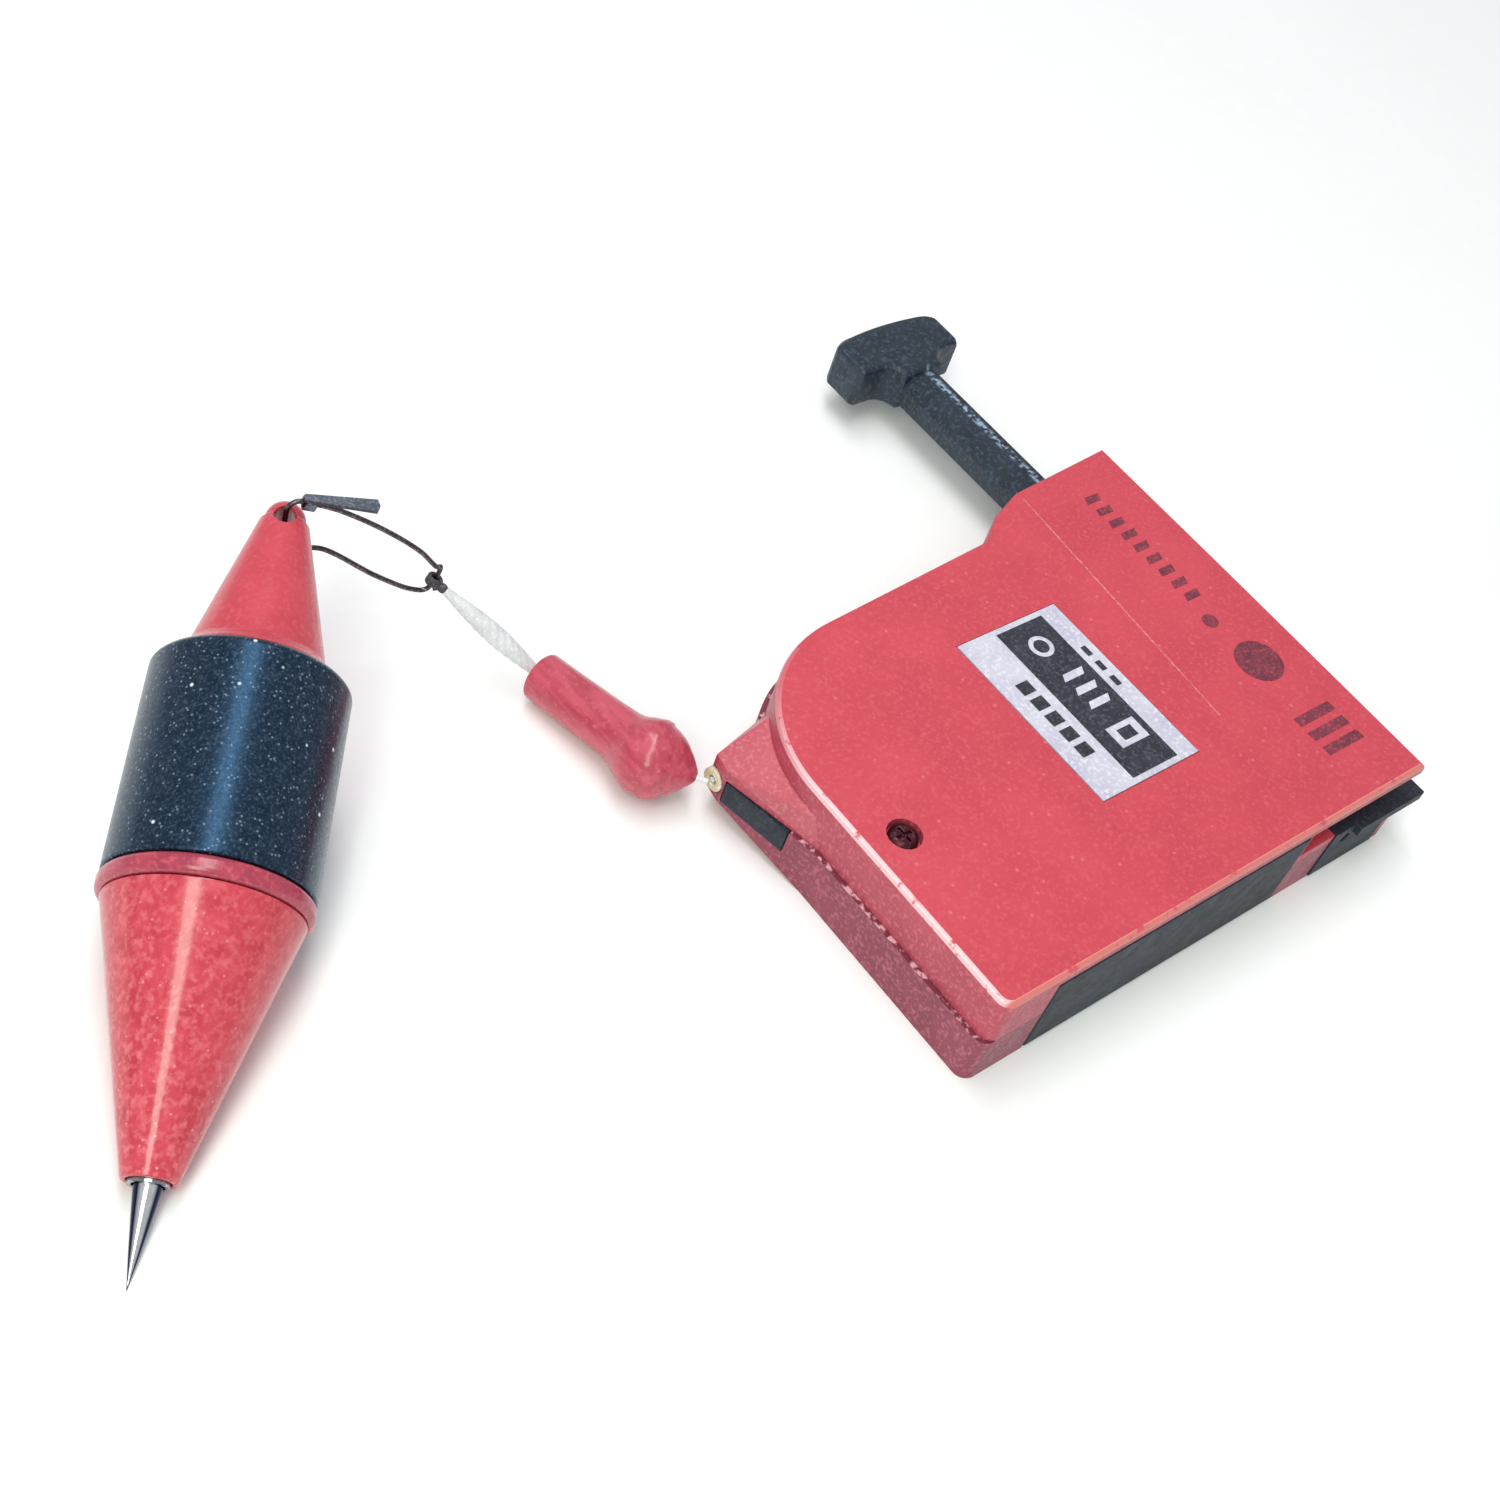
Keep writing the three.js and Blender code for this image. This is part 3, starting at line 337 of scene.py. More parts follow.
def cone_enamel():
    """The lower cone's enamel: fine low mottling, a little lighter and busier towards the point."""
    look = Look("cone_enamel")
    colour = mottled(look, rgb(186, 54, 68), rgb(203, 70, 83), rgb(211, 86, 97), 3, 0.9)
    split = look.add("ShaderNodeSeparateXYZ")
    look.feed(split, 0, look.place)
    near_point = look.between(split.outputs["X"], -112 * MM, -145 * MM, 0.25, 1)
    lighter = look.between(look.noise(1.1, 4), 0.5, 0.68)
    colour = look.mix(look.math("MULTIPLY", lighter, near_point), colour, rgb(220, 110, 116))
    flecks = look.math("MULTIPLY", look.flecks(0.7, 0.07, 0.36), near_point)
    colour = look.mix(flecks, colour, rgb(228, 146, 146))
    look.set("Base Color", colour)
    look.set("Roughness", look.between(look.noise(1.5, 2), 0.3, 0.7, 0.13, 0.18))
    look.relief(look.noise(1.1, 2), 0.008)
    return look.done()


def sleeve_black():
    look = Look("sleeve_black", 0.3)
    colour = mottled(look, rgb(19, 25, 35), rgb(30, 38, 50), rgb(60, 72, 88), 1.6, 0.45)
    small = look.flecks(0.55, 0.2, 0.4)
    large = look.flecks(1.7, 0.035, 0.22)
    colour = look.mix(small, colour, rgb(116, 130, 146))
    colour = look.mix(large, colour, rgb(240, 246, 255))
    look.set("Base Color", colour)
    look.set("Specular Tint", rgb(120, 190, 250))
    look.set("Specular IOR Level", 0.6)
    look.set("Roughness", look.between(look.noise(0.6, 2), 0.3, 0.7, 0.22, 0.34))
    look.relief(look.noise(0.5, 2), 0.015)
    return look.done()


def stopper_rubber():
    look = Look("stopper_rubber")
    streaks = look.between(look.noise(1.4, 2, (1, 0.16, 1)), 0.4, 0.62)
    colour = look.mix(streaks, rgb(180, 66, 84), rgb(200, 84, 102))
    colour = look.mix(look.between(look.noise(0.9, 1), 0.58, 0.85), colour, rgb(212, 102, 118))
    look.set("Base Color", colour)
    look.set("Roughness", look.between(look.noise(2, 2), 0.3, 0.7, 0.18, 0.3))
    look.relief(look.noise(2.6, 2), 0.08)
    return look.done()


def braided_line():
    look = Look("braided_line", 0.7)
    colour = mottled(look, rgb(206, 208, 211), rgb(222, 224, 226), rgb(236, 237, 238), 3, 0.5)
    look.set("Base Color", colour)
    look.relief(look.noise(0.3, 2), 0.01)
    return look.done()


def knot_cord():
    look = Look("knot_cord", 0.75)
    look.set("Base Color", mottled(look, rgb(52, 46, 54), rgb(74, 68, 76), rgb(112, 106, 114), 1.5, 0.4))
    look.relief(look.noise(0.25, 2), 0.04)
    return look.done()


def brushed(name, dark, middle, light, roughness):
    look = Look(name, roughness, 1.0)
    look.set("Base Color", mottled(look, dark, middle, light, 4, 0.5))
    look.set("Roughness", look.between(look.noise(0.6, 3), 0.3, 0.7, roughness - 0.06, roughness + 0.1))
    look.relief(look.noise(0.3, 2, (1, 1, 8)), 0.006)
    return look.done()


def polished_steel():
    """Bright steel with a painted reflection: dark blue where it turns away, for a dim room mirrored in it.
    """
    look = Look("polished_steel", 0.16, 1.0)
    facing = look.add("ShaderNodeLayerWeight")
    facing.inputs["Blend"].default_value = 0.5
    edge = look.between(facing.outputs["Facing"], 0.1, 0.26)
    bright = mottled(look, rgb(232, 236, 240), rgb(244, 247, 249), rgb(252, 252, 252), 5, 1)
    # painted reflection: dark blue colour at grazing angles
    look.set("Base Color", look.mix(edge, bright, rgb(26, 32, 62)))
    look.relief(look.noise(0.5, 2), 0.003)
    return look.done()


def cream_plastic():
    return moulded_plastic(
        "cream_plastic", rgb(206, 190, 158), rgb(226, 214, 186), rgb(240, 234, 214), 0.4, 0.008
    )


def label_film():
    look = Look("label_film", 0.4)
    tones = rgb(192, 188, 208), rgb(208, 205, 220), rgb(228, 226, 236)
    look.set("Base Color", mottled(look, *tones, 6, 0.8))
    look.relief(look.noise(1.2, 2), 0.006)
    return look.done()


def printing_ink(name, dark, middle, light):
    look = Look(name, 0.35)
    look.set("Base Color", mottled(look, dark, middle, light, 3, 0.6))
    look.relief(look.noise(0.6, 2), 0.004)
    return look.done()


def sintered_magnet():
    return brushed("sintered_magnet", rgb(70, 72, 78), rgb(92, 94, 100), rgb(120, 122, 128), 0.5)


LOOKS = {
    "case_red": case_red(),
    "case_side_painted_shade": case_side_painted_shade(),
    "nose_red": nose_red(),
    "painted_rim_highlight": painted_rim_highlight(),
    "painted_seam_highlight": painted_seam_highlight(),
    "case_dark_red": case_dark_red(),
    "black_plastic": black_plastic(),
    "slate_plastic": slate_plastic(),
    "red_paint": red_enamel(),
    "cone_paint": cone_enamel(),
    "shaded_collar_paint": shaded_collar_enamel(),
    "sleeve": sleeve_black(),
    "stopper_rubber": stopper_rubber(),
    "line": braided_line(),
    "knot": knot_cord(),
    "wire": brushed("wire", rgb(74, 66, 70), rgb(96, 88, 92), rgb(140, 134, 140), 0.36),
    "dark_steel": brushed("dark_steel", rgb(58, 60, 68), rgb(84, 86, 94), rgb(120, 124, 134), 0.34),
    "tab_steel": brushed("tab_steel", rgb(88, 95, 106), rgb(112, 120, 131), rgb(146, 153, 163), 0.4),
    "steel": polished_steel(),
    "plain_steel": brushed("plain_steel", rgb(150, 154, 160), rgb(180, 184, 190), rgb(210, 214, 218), 0.28),
    "cream_plastic": cream_plastic(),
    "label": label_film(),
    "label_black": printing_ink("label_black", rgb(34, 36, 46), rgb(48, 50, 62), rgb(80, 82, 96)),
    "mark_maroon": printing_ink("mark_maroon", rgb(104, 40, 58), rgb(126, 50, 66), rgb(176, 66, 82)),
    # pale pink for the painted highlight along the band's step
    "painted_step_highlight": printing_ink("painted_step_highlight", rgb(206, 84, 96), rgb(220, 112, 120), rgb(234, 150, 154)),
    "screw_maroon": brushed("screw_maroon", rgb(70, 34, 42), rgb(92, 48, 56), rgb(124, 72, 80), 0.5),
    "magnet": sintered_magnet(),
}


# ---------------------------------------------------------------- making pieces
def finish_piece(piece, look, body, stands_for=(), crease=35, weighted=True):
    """Shading, material and body of a piece whose mesh is ready."""
    mesh = piece.data
    mesh.materials.clear()
    mesh.materials.append(LOOKS[look])
    mesh.shade_smooth()
    mesh.set_sharp_from_angle(angle=math.radians(crease))
    if weighted:
        normals = piece.modifiers.new("normals", "WEIGHTED_NORMAL")
        normals.keep_sharp = True
    if stands_for:
        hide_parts(*stands_for)
    if body:
        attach(piece, body)
    return piece


def new_object(name, mesh):
    piece = bpy.data.objects.new(name, mesh)
    scene.collection.objects.link(piece)
    return piece


def mesh_piece(name, points, faces):
    mesh = bpy.data.meshes.new(name)
    mesh.from_pydata([tuple(p) for p in points], [], faces)
    mesh.validate()
    mesh.update()
    return new_object(name, mesh)


def refined(node, look, body, bevel=0.25, segments=3, crease=35, sharp=28, patches=()):
    """A CAD node again as a clean mesh: coplanar faces joined, and its sharp edges rounded.

    patches holds pairs of a look and a test on a face's centre in millimetres and its normal.
    """
    work = bmesh.new()
    work.from_mesh(nodes[node].data)
    bmesh.ops.remove_doubles(work, verts=work.verts, dist=0.002 * MM)
    bmesh.ops.dissolve_limit(
        work, angle_limit=math.radians(0.5), verts=work.verts, edges=work.edges
    )
    if bevel:
        edges = [
            e for e in work.edges
            if len(e.link_faces) == 2 and e.calc_face_angle() > math.radians(sharp)
        ]
        bmesh.ops.bevel(
            work,
            geom=edges,
            offset=bevel * MM,
            offset_type="OFFSET",
            segments=segments,
            profile=0.5,
            affect="EDGES",
            clamp_overlap=True,
        )
    mesh = bpy.data.meshes.new(node + "_fine")
    work.to_mesh(mesh)
    work.free()
    piece = new_object(node + "_fine", mesh)
    finish_piece(piece, look, body, (node,), crease)
    for index, (patch_look, test) in enumerate(patches, 1):
        mesh.materials.append(LOOKS[patch_look])
        for face in mesh.polygons:
            if test(face.center / MM, face.normal):
                face.material_index = index
    return piece


def rounded(points, radius, steps=5):
    """A profile of (radius, station) pairs with its inner corners turned into arcs."""
    made = [points[0]]
    for before, corner, after in zip(points, points[1:], points[2:]):
        here = Vector(corner)
        back = Vector(before) - here
        ahead = Vector(after) - here
        reach = min(radius, back.length * 0.45, ahead.length * 0.45)
        start = here + back.normalized() * reach
        stop = here + ahead.normalized() * reach
        for step in range(steps + 1):
            t = step / steps
            made.append(tuple(start * (1 - t) ** 2 + here * 2 * t * (1 - t) + stop * t ** 2))
    made.append(points[-1])
    return made


def frame_across(axis):
    side = axis.cross(UP).normalized()
    return side, axis.cross(side).normalized()


def lofted(name, rings, closed=False):
    """A skin over rings of points. A ring of one point closes an end."""
    points, rows, faces = [], [], []
    for ring in rings:
        rows.append(range(len(points), len(points) + len(ring)))
        points.extend(ring)
    following = rows[1:] + ([rows[0]] if closed else [])
    for first, second in zip(rows, following):
        count = max(len(first), len(second))
        for k in range(count):
            n = (k + 1) % count
            corners = [first[k % len(first)], first[n % len(first)]]
            corners += [second[n % len(second)], second[k % len(second)]]
            faces.append(tuple(dict.fromkeys(corners)))
    piece = mesh_piece(name, points, faces)
    outward(piece)
    return piece


def outward(piece):
    """Turns every face of a closed mesh to the outside."""
    work = bmesh.new()
    work.from_mesh(piece.data)
    bmesh.ops.recalc_face_normals(work, faces=work.faces)
    work.to_mesh(piece.data)
    work.free()


def ring_of(centre, side, other, radius, sides, ripple=None):
    """A ring of points round a centre, or the centre alone where the radius is nothing."""
    if radius < 1e-7:
        return [centre.copy()]
    ring = []
    for k in range(sides):
        turn = 2 * math.pi * k / sides
        reach = radius * (ripple(turn) if ripple else 1)
        ring.append(centre + (side * math.cos(turn) + other * math.sin(turn)) * reach)
    return ring


def turned(name, profile, origin, axis, sides=96):
    """A turned piece. Its profile runs from axis to axis, or round a ring back to its start."""
    side, other = frame_across(axis)
    closed = profile[0] == profile[-1]
    outline = profile[:-1] if closed else profile
    rings = [ring_of(origin + axis * along, side, other, radius, sides) for radius, along in outline]
    return lofted(name, rings, closed)


def swept(name, path, radii, sides=24, ripple=None, loop=False, ways=None):
    """A round bar along a path, with a radius at each point. ways overrides its directions."""
    count = len(path)
    rings = []
    side = None
    for i, (centre, radius) in enumerate(zip(path, radii)):
        if ways:
            ahead = ways[i]
        elif loop:
            ahead = (path[(i + 1) % count] - path[i - 1]).normalized()
        else:
            ahead = (path[min(i + 1, count - 1)] - path[max(i - 1, 0)]).normalized()
        side = side or frame_across(ahead)[0]
        side = (side - ahead * side.dot(ahead)).normalized()
        shape = (lambda turn, i=i: ripple(i, turn)) if ripple else None
        rings.append(ring_of(centre, side, ahead.cross(side), radius, sides, shape))
    if not loop:
        rings = [[path[0].copy()]] + rings + [[path[-1].copy()]]
    return lofted(name, rings, loop)


# ---------------------------------------------------------------- bob
def build_bob():
    def on_bob(node):
        return stations(node, bob_tip, bob_axis)

    cone_start, cone_stop, cone_r = on_bob("lower_cone")
    collar_start, collar_stop, collar_r = on_bob("bob_collar")
    sleeve_start, sleeve_stop, sleeve_r = on_bob("bob_sleeve")
    top_start, top_stop, top_r = on_bob("upper_cone")
    weight_r = 13 * MM
    spigot_r = 6.3 * MM
    spigot_socket = 14 * MM
    top_socket_r, top_socket = 5.3 * MM, 8.2 * MM
    mouth_r, lip_r = 3.1 * MM, 3.9 * MM
    mouth_end = 29 * MM
    needle_r, needle_root = 2.1 * MM, 26 * MM

    needle = turned(
        "bob_needle_fine",
        rounded(
            [
                (0, 0),
                (0.35 * MM, 2.2 * MM),
                (0.8 * MM, 5 * MM),
                (1.5 * MM, 10 * MM),
                (needle_r, cone_start),
                (needle_r, needle_root),
                (0, needle_root),
            ],
            1.5 * MM,
        ),
        bob_tip,
        bob_axis,
        64,
    )
    finish_piece(needle, "steel", "bob", ("bob_needle",), 50)

    lower = turned(
        "lower_cone_fine",
        rounded(
            [
                (0, mouth_end),
                (mouth_r, mouth_end),
                (mouth_r, cone_start),
                (lip_r, cone_start),
                (cone_r, cone_stop),
                (spigot_r, cone_stop),
                (spigot_r, cone_stop - spigot_socket),
                (0, cone_stop - spigot_socket),
            ],
            0.25 * MM,
        ),
        bob_tip,
        bob_axis,
        128,
    )
    finish_piece(lower, "cone_paint", "bob", ("lower_cone",))

    collar = turned(
        "bob_collar_fine",
        rounded(
            [
                (spigot_r, collar_start + 1 * MM),
                (spigot_r, collar_start),
                (collar_r - 0.6 * MM, collar_start),
                (collar_r, collar_start + 0.7 * MM),
                (collar_r, collar_stop - 0.7 * MM),
                (collar_r - 0.5 * MM, collar_stop),
                (spigot_r, collar_stop),
                (spigot_r, collar_start + 1 * MM),
            ],
            0.45 * MM,
        ),
        bob_tip,
        bob_axis,
        128,
    )
    finish_piece(collar, "shaded_collar_paint", "bob", ("bob_collar",))

    inner = weight_r + 0.25 * MM
    sleeve = turned(
        "bob_sleeve_fine",
        rounded(
            [
                (inner, sleeve_start + 3 * MM),
                (inner, sleeve_start),
                (sleeve_r, sleeve_start),
                (sleeve_r - 0.35 * MM, sleeve_stop - 0.9 * MM),
                (sleeve_r - 1.2 * MM, sleeve_stop),
                (inner, sleeve_stop),
                (inner, sleeve_start + 3 * MM),
            ],
            0.5 * MM,
        ),
        bob_tip,
        bob_axis,
        128,
    )
    finish_piece(sleeve, "sleeve", "bob", ("bob_sleeve",))

    dome_r = 3.2 * MM
    dome = top_stop - dome_r
    profile = [
        (0, top_start + top_socket),
        (top_socket_r, top_start + top_socket),
        (top_socket_r, top_start),
        (top_r, top_start),
        (top_r - 0.4 * MM, top_start + 1 * MM),
        (top_r - 2.2 * MM, top_start + 2.8 * MM),
        (dome_r + 0.7 * MM, dome - 0.8 * MM),
    ]
    profile = rounded(profile, 0.6 * MM)
    for step in range(0, 13):
        turn = math.radians(90) * step / 12
        profile.append((dome_r * math.cos(turn), dome + dome_r * math.sin(turn)))
    profile[-1] = (0, top_stop)
    upper = turned("upper_cone_fine", profile, bob_tip, bob_axis, 128)
    drill_eye(upper)
    finish_piece(upper, "red_paint", "bob", ("upper_cone",))


def drill_eye(cone):
    """Cuts the cross hole for the wire loop."""
    hole_r = 1.8 * MM
    sideways = bob_axis.cross(UP).cross(bob_axis).normalized()
    drill = turned(
        "drill",
        [(0, -9 * MM), (hole_r, -9 * MM), (hole_r, 9 * MM), (0, 9 * MM)],
        eye_place,
        sideways,
        48,
    )
    cut = cone.modifiers.new("eye", "BOOLEAN")
    cut.operation = "DIFFERENCE"
    cut.solver = "EXACT"
    cut.object = drill
    applied = bpy.data.meshes.new_from_object(
        cone.evaluated_get(bpy.context.evaluated_depsgraph_get())
    )
    cone.modifiers.clear()
    cone.data = applied
    bpy.data.objects.remove(drill)


# ---------------------------------------------------------------- line, stopper, leader, knot
def smooth_path(points, steps):
    """A Catmull-Rom curve through the points."""
    padded = [points[0] * 2 - points[1]] + points + [points[-1] * 2 - points[-2]]
    path = []
    for a, b, c, d in zip(padded, padded[1:], padded[2:], padded[3:]):
        for step in range(steps):
            t = step / steps
            path.append(
                0.5 * (2 * b + (c - a) * t + (2 * a - 5 * b + 4 * c - d) * t ** 2
                       + (3 * b - a - 3 * c + d) * t ** 3)
            )
    path.append(points[-1].copy())
    return path


def build_stopper():
    """The rubber stopper: snout, bulb and drilled tube follow one bent centre line."""
    snout = min(vertices("line_stopper"), key=lambda p: (p - outlet).length)
    snout.z = outlet.z
    bulb = snout.lerp(tube_end, 0.22) + Vector((-2.2, 0.3, 0)) * MM
    bulb.z = 7 * MM
    guide = [
        snout,
        snout.lerp(bulb, 0.5),
        bulb,
        bulb.lerp(tube_end, 0.3),
        bulb.lerp(tube_end, 0.65),
        tube_end,
    ]
    path = smooth_path(guide, 12)
    reached = [0.0]
    for a, b in zip(path, path[1:]):
        reached.append(reached[-1] + (b - a).length)
    shape = [
        (0, 0.7), (0.4, 1.4), (1.5, 2.8), (3.2, 4.5), (5.2, 6), (7.2, 6.85), (9, 6.85), (10.8, 6.2),
        (12.8, 5.2), (14.6, 4.8), (18, 4.6), (28, 4.4), (40, 4.3),
    ]
    radii = [reading(shape, step / MM) * MM for step in reached]
    last = len(path) - 1
    ways = [(path[min(i + 1, last)] - path[max(i - 1, 0)]).normalized() for i in range(last + 1)]

    # the rounded mouth of the tube, and the hole that the leader enters
    way = (tube_end - guide[-2]).normalized()
    rim = 0.35 * MM
    hole_r = 1.5 * MM
    end_r = radii.pop()
    path.pop()
    ways.pop()
    for step in range(6):
        turn = math.radians(90) * step / 5
        path.append(tube_end - way * rim * (1 - math.sin(turn)))
        radii.append(end_r - rim * (1 - math.cos(turn)))
    for depth, radius in ((0, hole_r + 0.4 * MM), (0.4 * MM, hole_r), (9 * MM, hole_r)):
        path.append(tube_end - way * depth)
        radii.append(radius)
    ways += [way] * (len(path) - len(ways))
    piece = swept("line_stopper_fine", path, radii, 72, ways=ways)
    finish_piece(piece, "stopper_rubber", "stopper", ("line_stopper",), 60)
    return snout


def reading(table, at):
    """A value read between the rows of a table of (place, value)."""
    for (low, first), (high, second) in zip(table, table[1:]):
        if at <= high:
            share = (at - low) / (high - low)
            return first + (second - first) * share
    return table[-1][1]


def round_curve(points, steps):
    """A closed centripetal Catmull-Rom curve through the points."""
    path = []
    count = len(points)
    for i in range(count):
        p = [points[(i + k) % count] for k in range(4)]
        knots = [0.0]
        for a, b in zip(p, p[1:]):
            knots.append(knots[-1] + (b - a).length ** 0.5)
        for step in range(steps):
            at = knots[1] + (knots[2] - knots[1]) * step / steps
            level = p
            for reach in (1, 2, 3):
                level = [
                    level[k].lerp(level[k + 1], (at - knots[low]) / (knots[high] - knots[low]))
                    for k, low, high in spans(reach)
                ]
            path.append(level[0])
    return path


def spans(reach):
    """Which knots bound each blend at a level of the curve's construction."""
    if reach == 1:
        return [(0, 0, 1), (1, 1, 2), (2, 2, 3)]
    if reach == 2:
        return [(0, 0, 2), (1, 1, 3)]
    return [(0, 1, 2)]


def build_line(snout):
    """The drawn line, which lengthens between the outlet and the stopper."""
    line_r = 0.5 * MM
    count = 12
    path = [outlet.lerp(snout, i / count) for i in range(count + 1)]
    line = swept("drawn_line", path, [line_r] * len(path), 20)
    finish_piece(line, "line", None, ("line_tail",), 60, weighted=False)
    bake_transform(line)


def build_leader():
    """The leader cord: five strands twisted together, thickest half way."""
    start = tube_end - (knot_place - tube_end).normalized() * 1.5 * MM
    stop = knot_place - (knot_place - tube_end).normalized() * 1.2 * MM
    length = (stop - start).length
    rows = 140
    strands, pitch = 5, 9.0 * MM

    def thickness(t):
        return (0.65 + 1.05 * math.sin(math.pi * t) ** 1.4) * MM

    def ripple(i, turn):
        lay = 2 * math.pi * length * (i / rows) / pitch
        return 0.96 + 0.07 * abs(math.cos(strands * (turn - lay) / 2))

    path = [start.lerp(stop, i / rows) for i in range(rows + 1)]
    radii = [thickness(i / rows) for i in range(rows + 1)]
    cord = swept("leader_cord_fine", path, radii, 36, ripple)
    finish_piece(cord, "line", "leader", ("leader_cord",), 80, weighted=False)


def build_knot():
    """The knot: the leader's end whipped round the wire, and tied off in a bead."""
    away = (tube_end - knot_place).normalized()
    lean = math.radians(19)
    wire_way = loop_way * math.sin(lean) + UP * math.cos(lean)
    wraps, wrap_r, cord_r, steps = 3, 1.1 * MM, 0.32 * MM, 28
    across, over = frame_across(wire_way)
    path = []
    for i in range(wraps * steps + 1):
        turn = 2 * math.pi * i / steps
        rise = (i / (wraps * steps) - 0.5) * wraps * cord_r * 1.7
        out = across * math.cos(turn) + over * math.sin(turn)
        path.append(knot_place + wire_way * rise + out * wrap_r)
    whipping = swept("leader_knot_fine", path, [cord_r] * len(path), 14)
    finish_piece(whipping, "knot", "leader", ("leader_knot",), 80, weighted=False)
    bead_r = 0.85 * MM
    profile = []
    for step in range(16):
        turn = math.pi * step / 15
        profile.append((bead_r * math.sin(turn), -1.25 * bead_r * math.cos(turn)))
    bead = turned("leader_knot_bead", profile, knot_place + away * 1.9 * MM, away, 28)
    finish_piece(bead, "knot", "leader", (), 80, weighted=False)


def build_loop():
    """The wire loop through the bob's eye, and the flat tab clipped round it."""
    reach = (knot_place - eye_place).xy.length / MM
    drop = (eye_place.z - knot_place.z) / MM
    far = reach + 0.6
    bends = [
        (0, 0),
        (0, 2.6),
        (0.3, 4.2),
        (1.6, 5.1),
        (4, 4.4),
        (8, 2.8),
        (16, -2.2),
        (far - 3.8, -7.6),
        (far - 0.5, -11.4),
        (far, 3.2 - drop),
        (reach, -drop),
        (reach - 1.2, -1.9 - drop),
        (reach - 3.6, -1.6 - drop),
        (16, -12.6),
        (6.5, -5.6),
        (3.4, -5),
        (0.6, -4.2),
        (0, -2.6),
    ]
    path = round_curve([eye_place + (loop_way * u + UP * z) * MM for u, z in bends], 14)
    wire = swept("wire_loop_fine", path, [0.42 * MM] * len(path), 20, loop=True)
    finish_piece(wire, "wire", "loop", ("wire_loop",), 80, weighted=False)
    refined("loop_tab", "tab_steel", "loop", 0.15, 2)


# ---------------------------------------------------------------- case
def build_case():
    reel_corner_r = 27.6

    # side faces take the darker red of painted shade
    def on_side(centre, normal):
        return abs(normal.z) < 0.25

    def on_nose(centre, normal):
        beyond = centre.xy.length > reel_corner_r
        return beyond and centre.x < -10 and centre.y > -7 and centre.z < 16 and normal.z > 0.1

    # the rim faces that take the painted highlight
    def on_rim(centre, normal):
        outside = (centre.x < 0 and normal.x < -0.15) or normal.y < -0.3
        return outside and centre.z > 18.9 and 0.3 < normal.z < 0.96

    refined(
        "upper_shell",
        "case_red",
        "case",
        0.18,
        patches=(
            ("case_side_painted_shade", on_side),
            ("nose_red", on_nose),
            ("painted_rim_highlight", on_rim),
        ),
    )

    # the ledge faces that take the painted highlight dashes
    def on_ledge(centre, normal):
        return normal.z > 0.5 and centre.z > 9.5

    # the lower shell in the darker red of painted shade
    refined(
        "lower_shell",
        "case_dark_red",
        "case",
        0.3,
        patches=(("painted_seam_highlight", on_ledge),),
    )
    build_label_print()
    build_band_marks()
    refined("magnet_strip", "black_plastic", "case", 0.4)
    refined("needle_guide", "black_plastic", "case", 0.3)
    refined("line_guide", "black_plastic", "case", 0.3)
    refined("outlet_eyelet", "cream_plastic", "case", 0.3)
    refined("label_plate", "label", "case", 0.05)
    refined("case_screw_top", "screw_maroon", "case", 0.12, 2)
    for name in ("case_screw_back_1", "case_screw_back_2", "case_screw_back_3"):
        refined(name, "dark_steel", "case", 0.12, 2)


def raised(name, look, body, shapes, levels):
    """Thin raised shapes. levels holds two functions of (x, y): their undersides and their tops."""
    points, faces = [], []
    for outline in shapes:
        first, count = len(points), len(outline)
        for level in levels:
            points.extend((x, y, level(x, y)) for x, y in outline)
        faces.append(tuple(range(first + count - 1, first - 1, -1)))
        faces.append(tuple(range(first + count, first + 2 * count)))
        for k in range(count):
            n = (k + 1) % count
            faces.append((first + k, first + n, first + count + n, first + count + k))
    piece = mesh_piece(name, points, faces)
    outward(piece)
    return finish_piece(piece, look, body)


def prints(name, look, body, shapes, z, thickness):
    """Prints on the flat label: each shape is an outline of (x, y) in metres."""
    return raised(name, look, body, shapes, (lambda x, y: z, lambda x, y: z + thickness))


def block(x, y, width, height, slant=0.0):
    """A bar centred on a place, its far end shifted sideways by slant."""
    w, h = width / 2, height / 2
    return [(x - w, y - h), (x + w, y - h), (x + w + slant, y + h), (x - w + slant, y + h)]


def disc(x, y, radius, sides=40):
    turns = [2 * math.pi * k / sides for k in range(sides)]
    return [(x + radius * math.cos(t), y + radius * math.sin(t)) for t in turns]


def build_label_print():
    """Plain shapes on the label: a black field along its middle, a disc, bars and blocks."""
    low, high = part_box("label_plate")
    width, length = high.x - low.x, high.y - low.y
    film = 0.03 * MM

    def at(across, along):
        return low.x + width * across, low.y + length * along

    field = block(*at(0.585, 0.5), width * 0.47, length * 0.94)
    prints("label_field", "label_black", "case", [field], high.z, film)
    pale = [disc(*at(0.6, 0.82), 2.4 * MM)]
    for along, share in ((0.62, 0.2), (0.53, 0.2), (0.44, 0.2)):
        pale.append(block(*at(0.62, along), width * share, 1.5 * MM, 0.8 * MM))
    pale.append(block(*at(0.62, 0.24), width * 0.28, 4.6 * MM))
    prints("label_shapes", "label", "case", pale, high.z + film, film)
    dark = [disc(*at(0.6, 0.82), 1.5 * MM), block(*at(0.62, 0.24), width * 0.14, 2.4 * MM)]
    for along in (0.66, 0.56, 0.46, 0.36, 0.26):
        dark.append(block(*at(0.2, along), width * 0.12, 2.6 * MM))
    for along in (0.7, 0.6, 0.5):
        dark.append(block(*at(0.9, along), width * 0.05, 2.2 * MM))
    prints("label_details", "label_black", "case", dark, high.z + 2 * film, film)


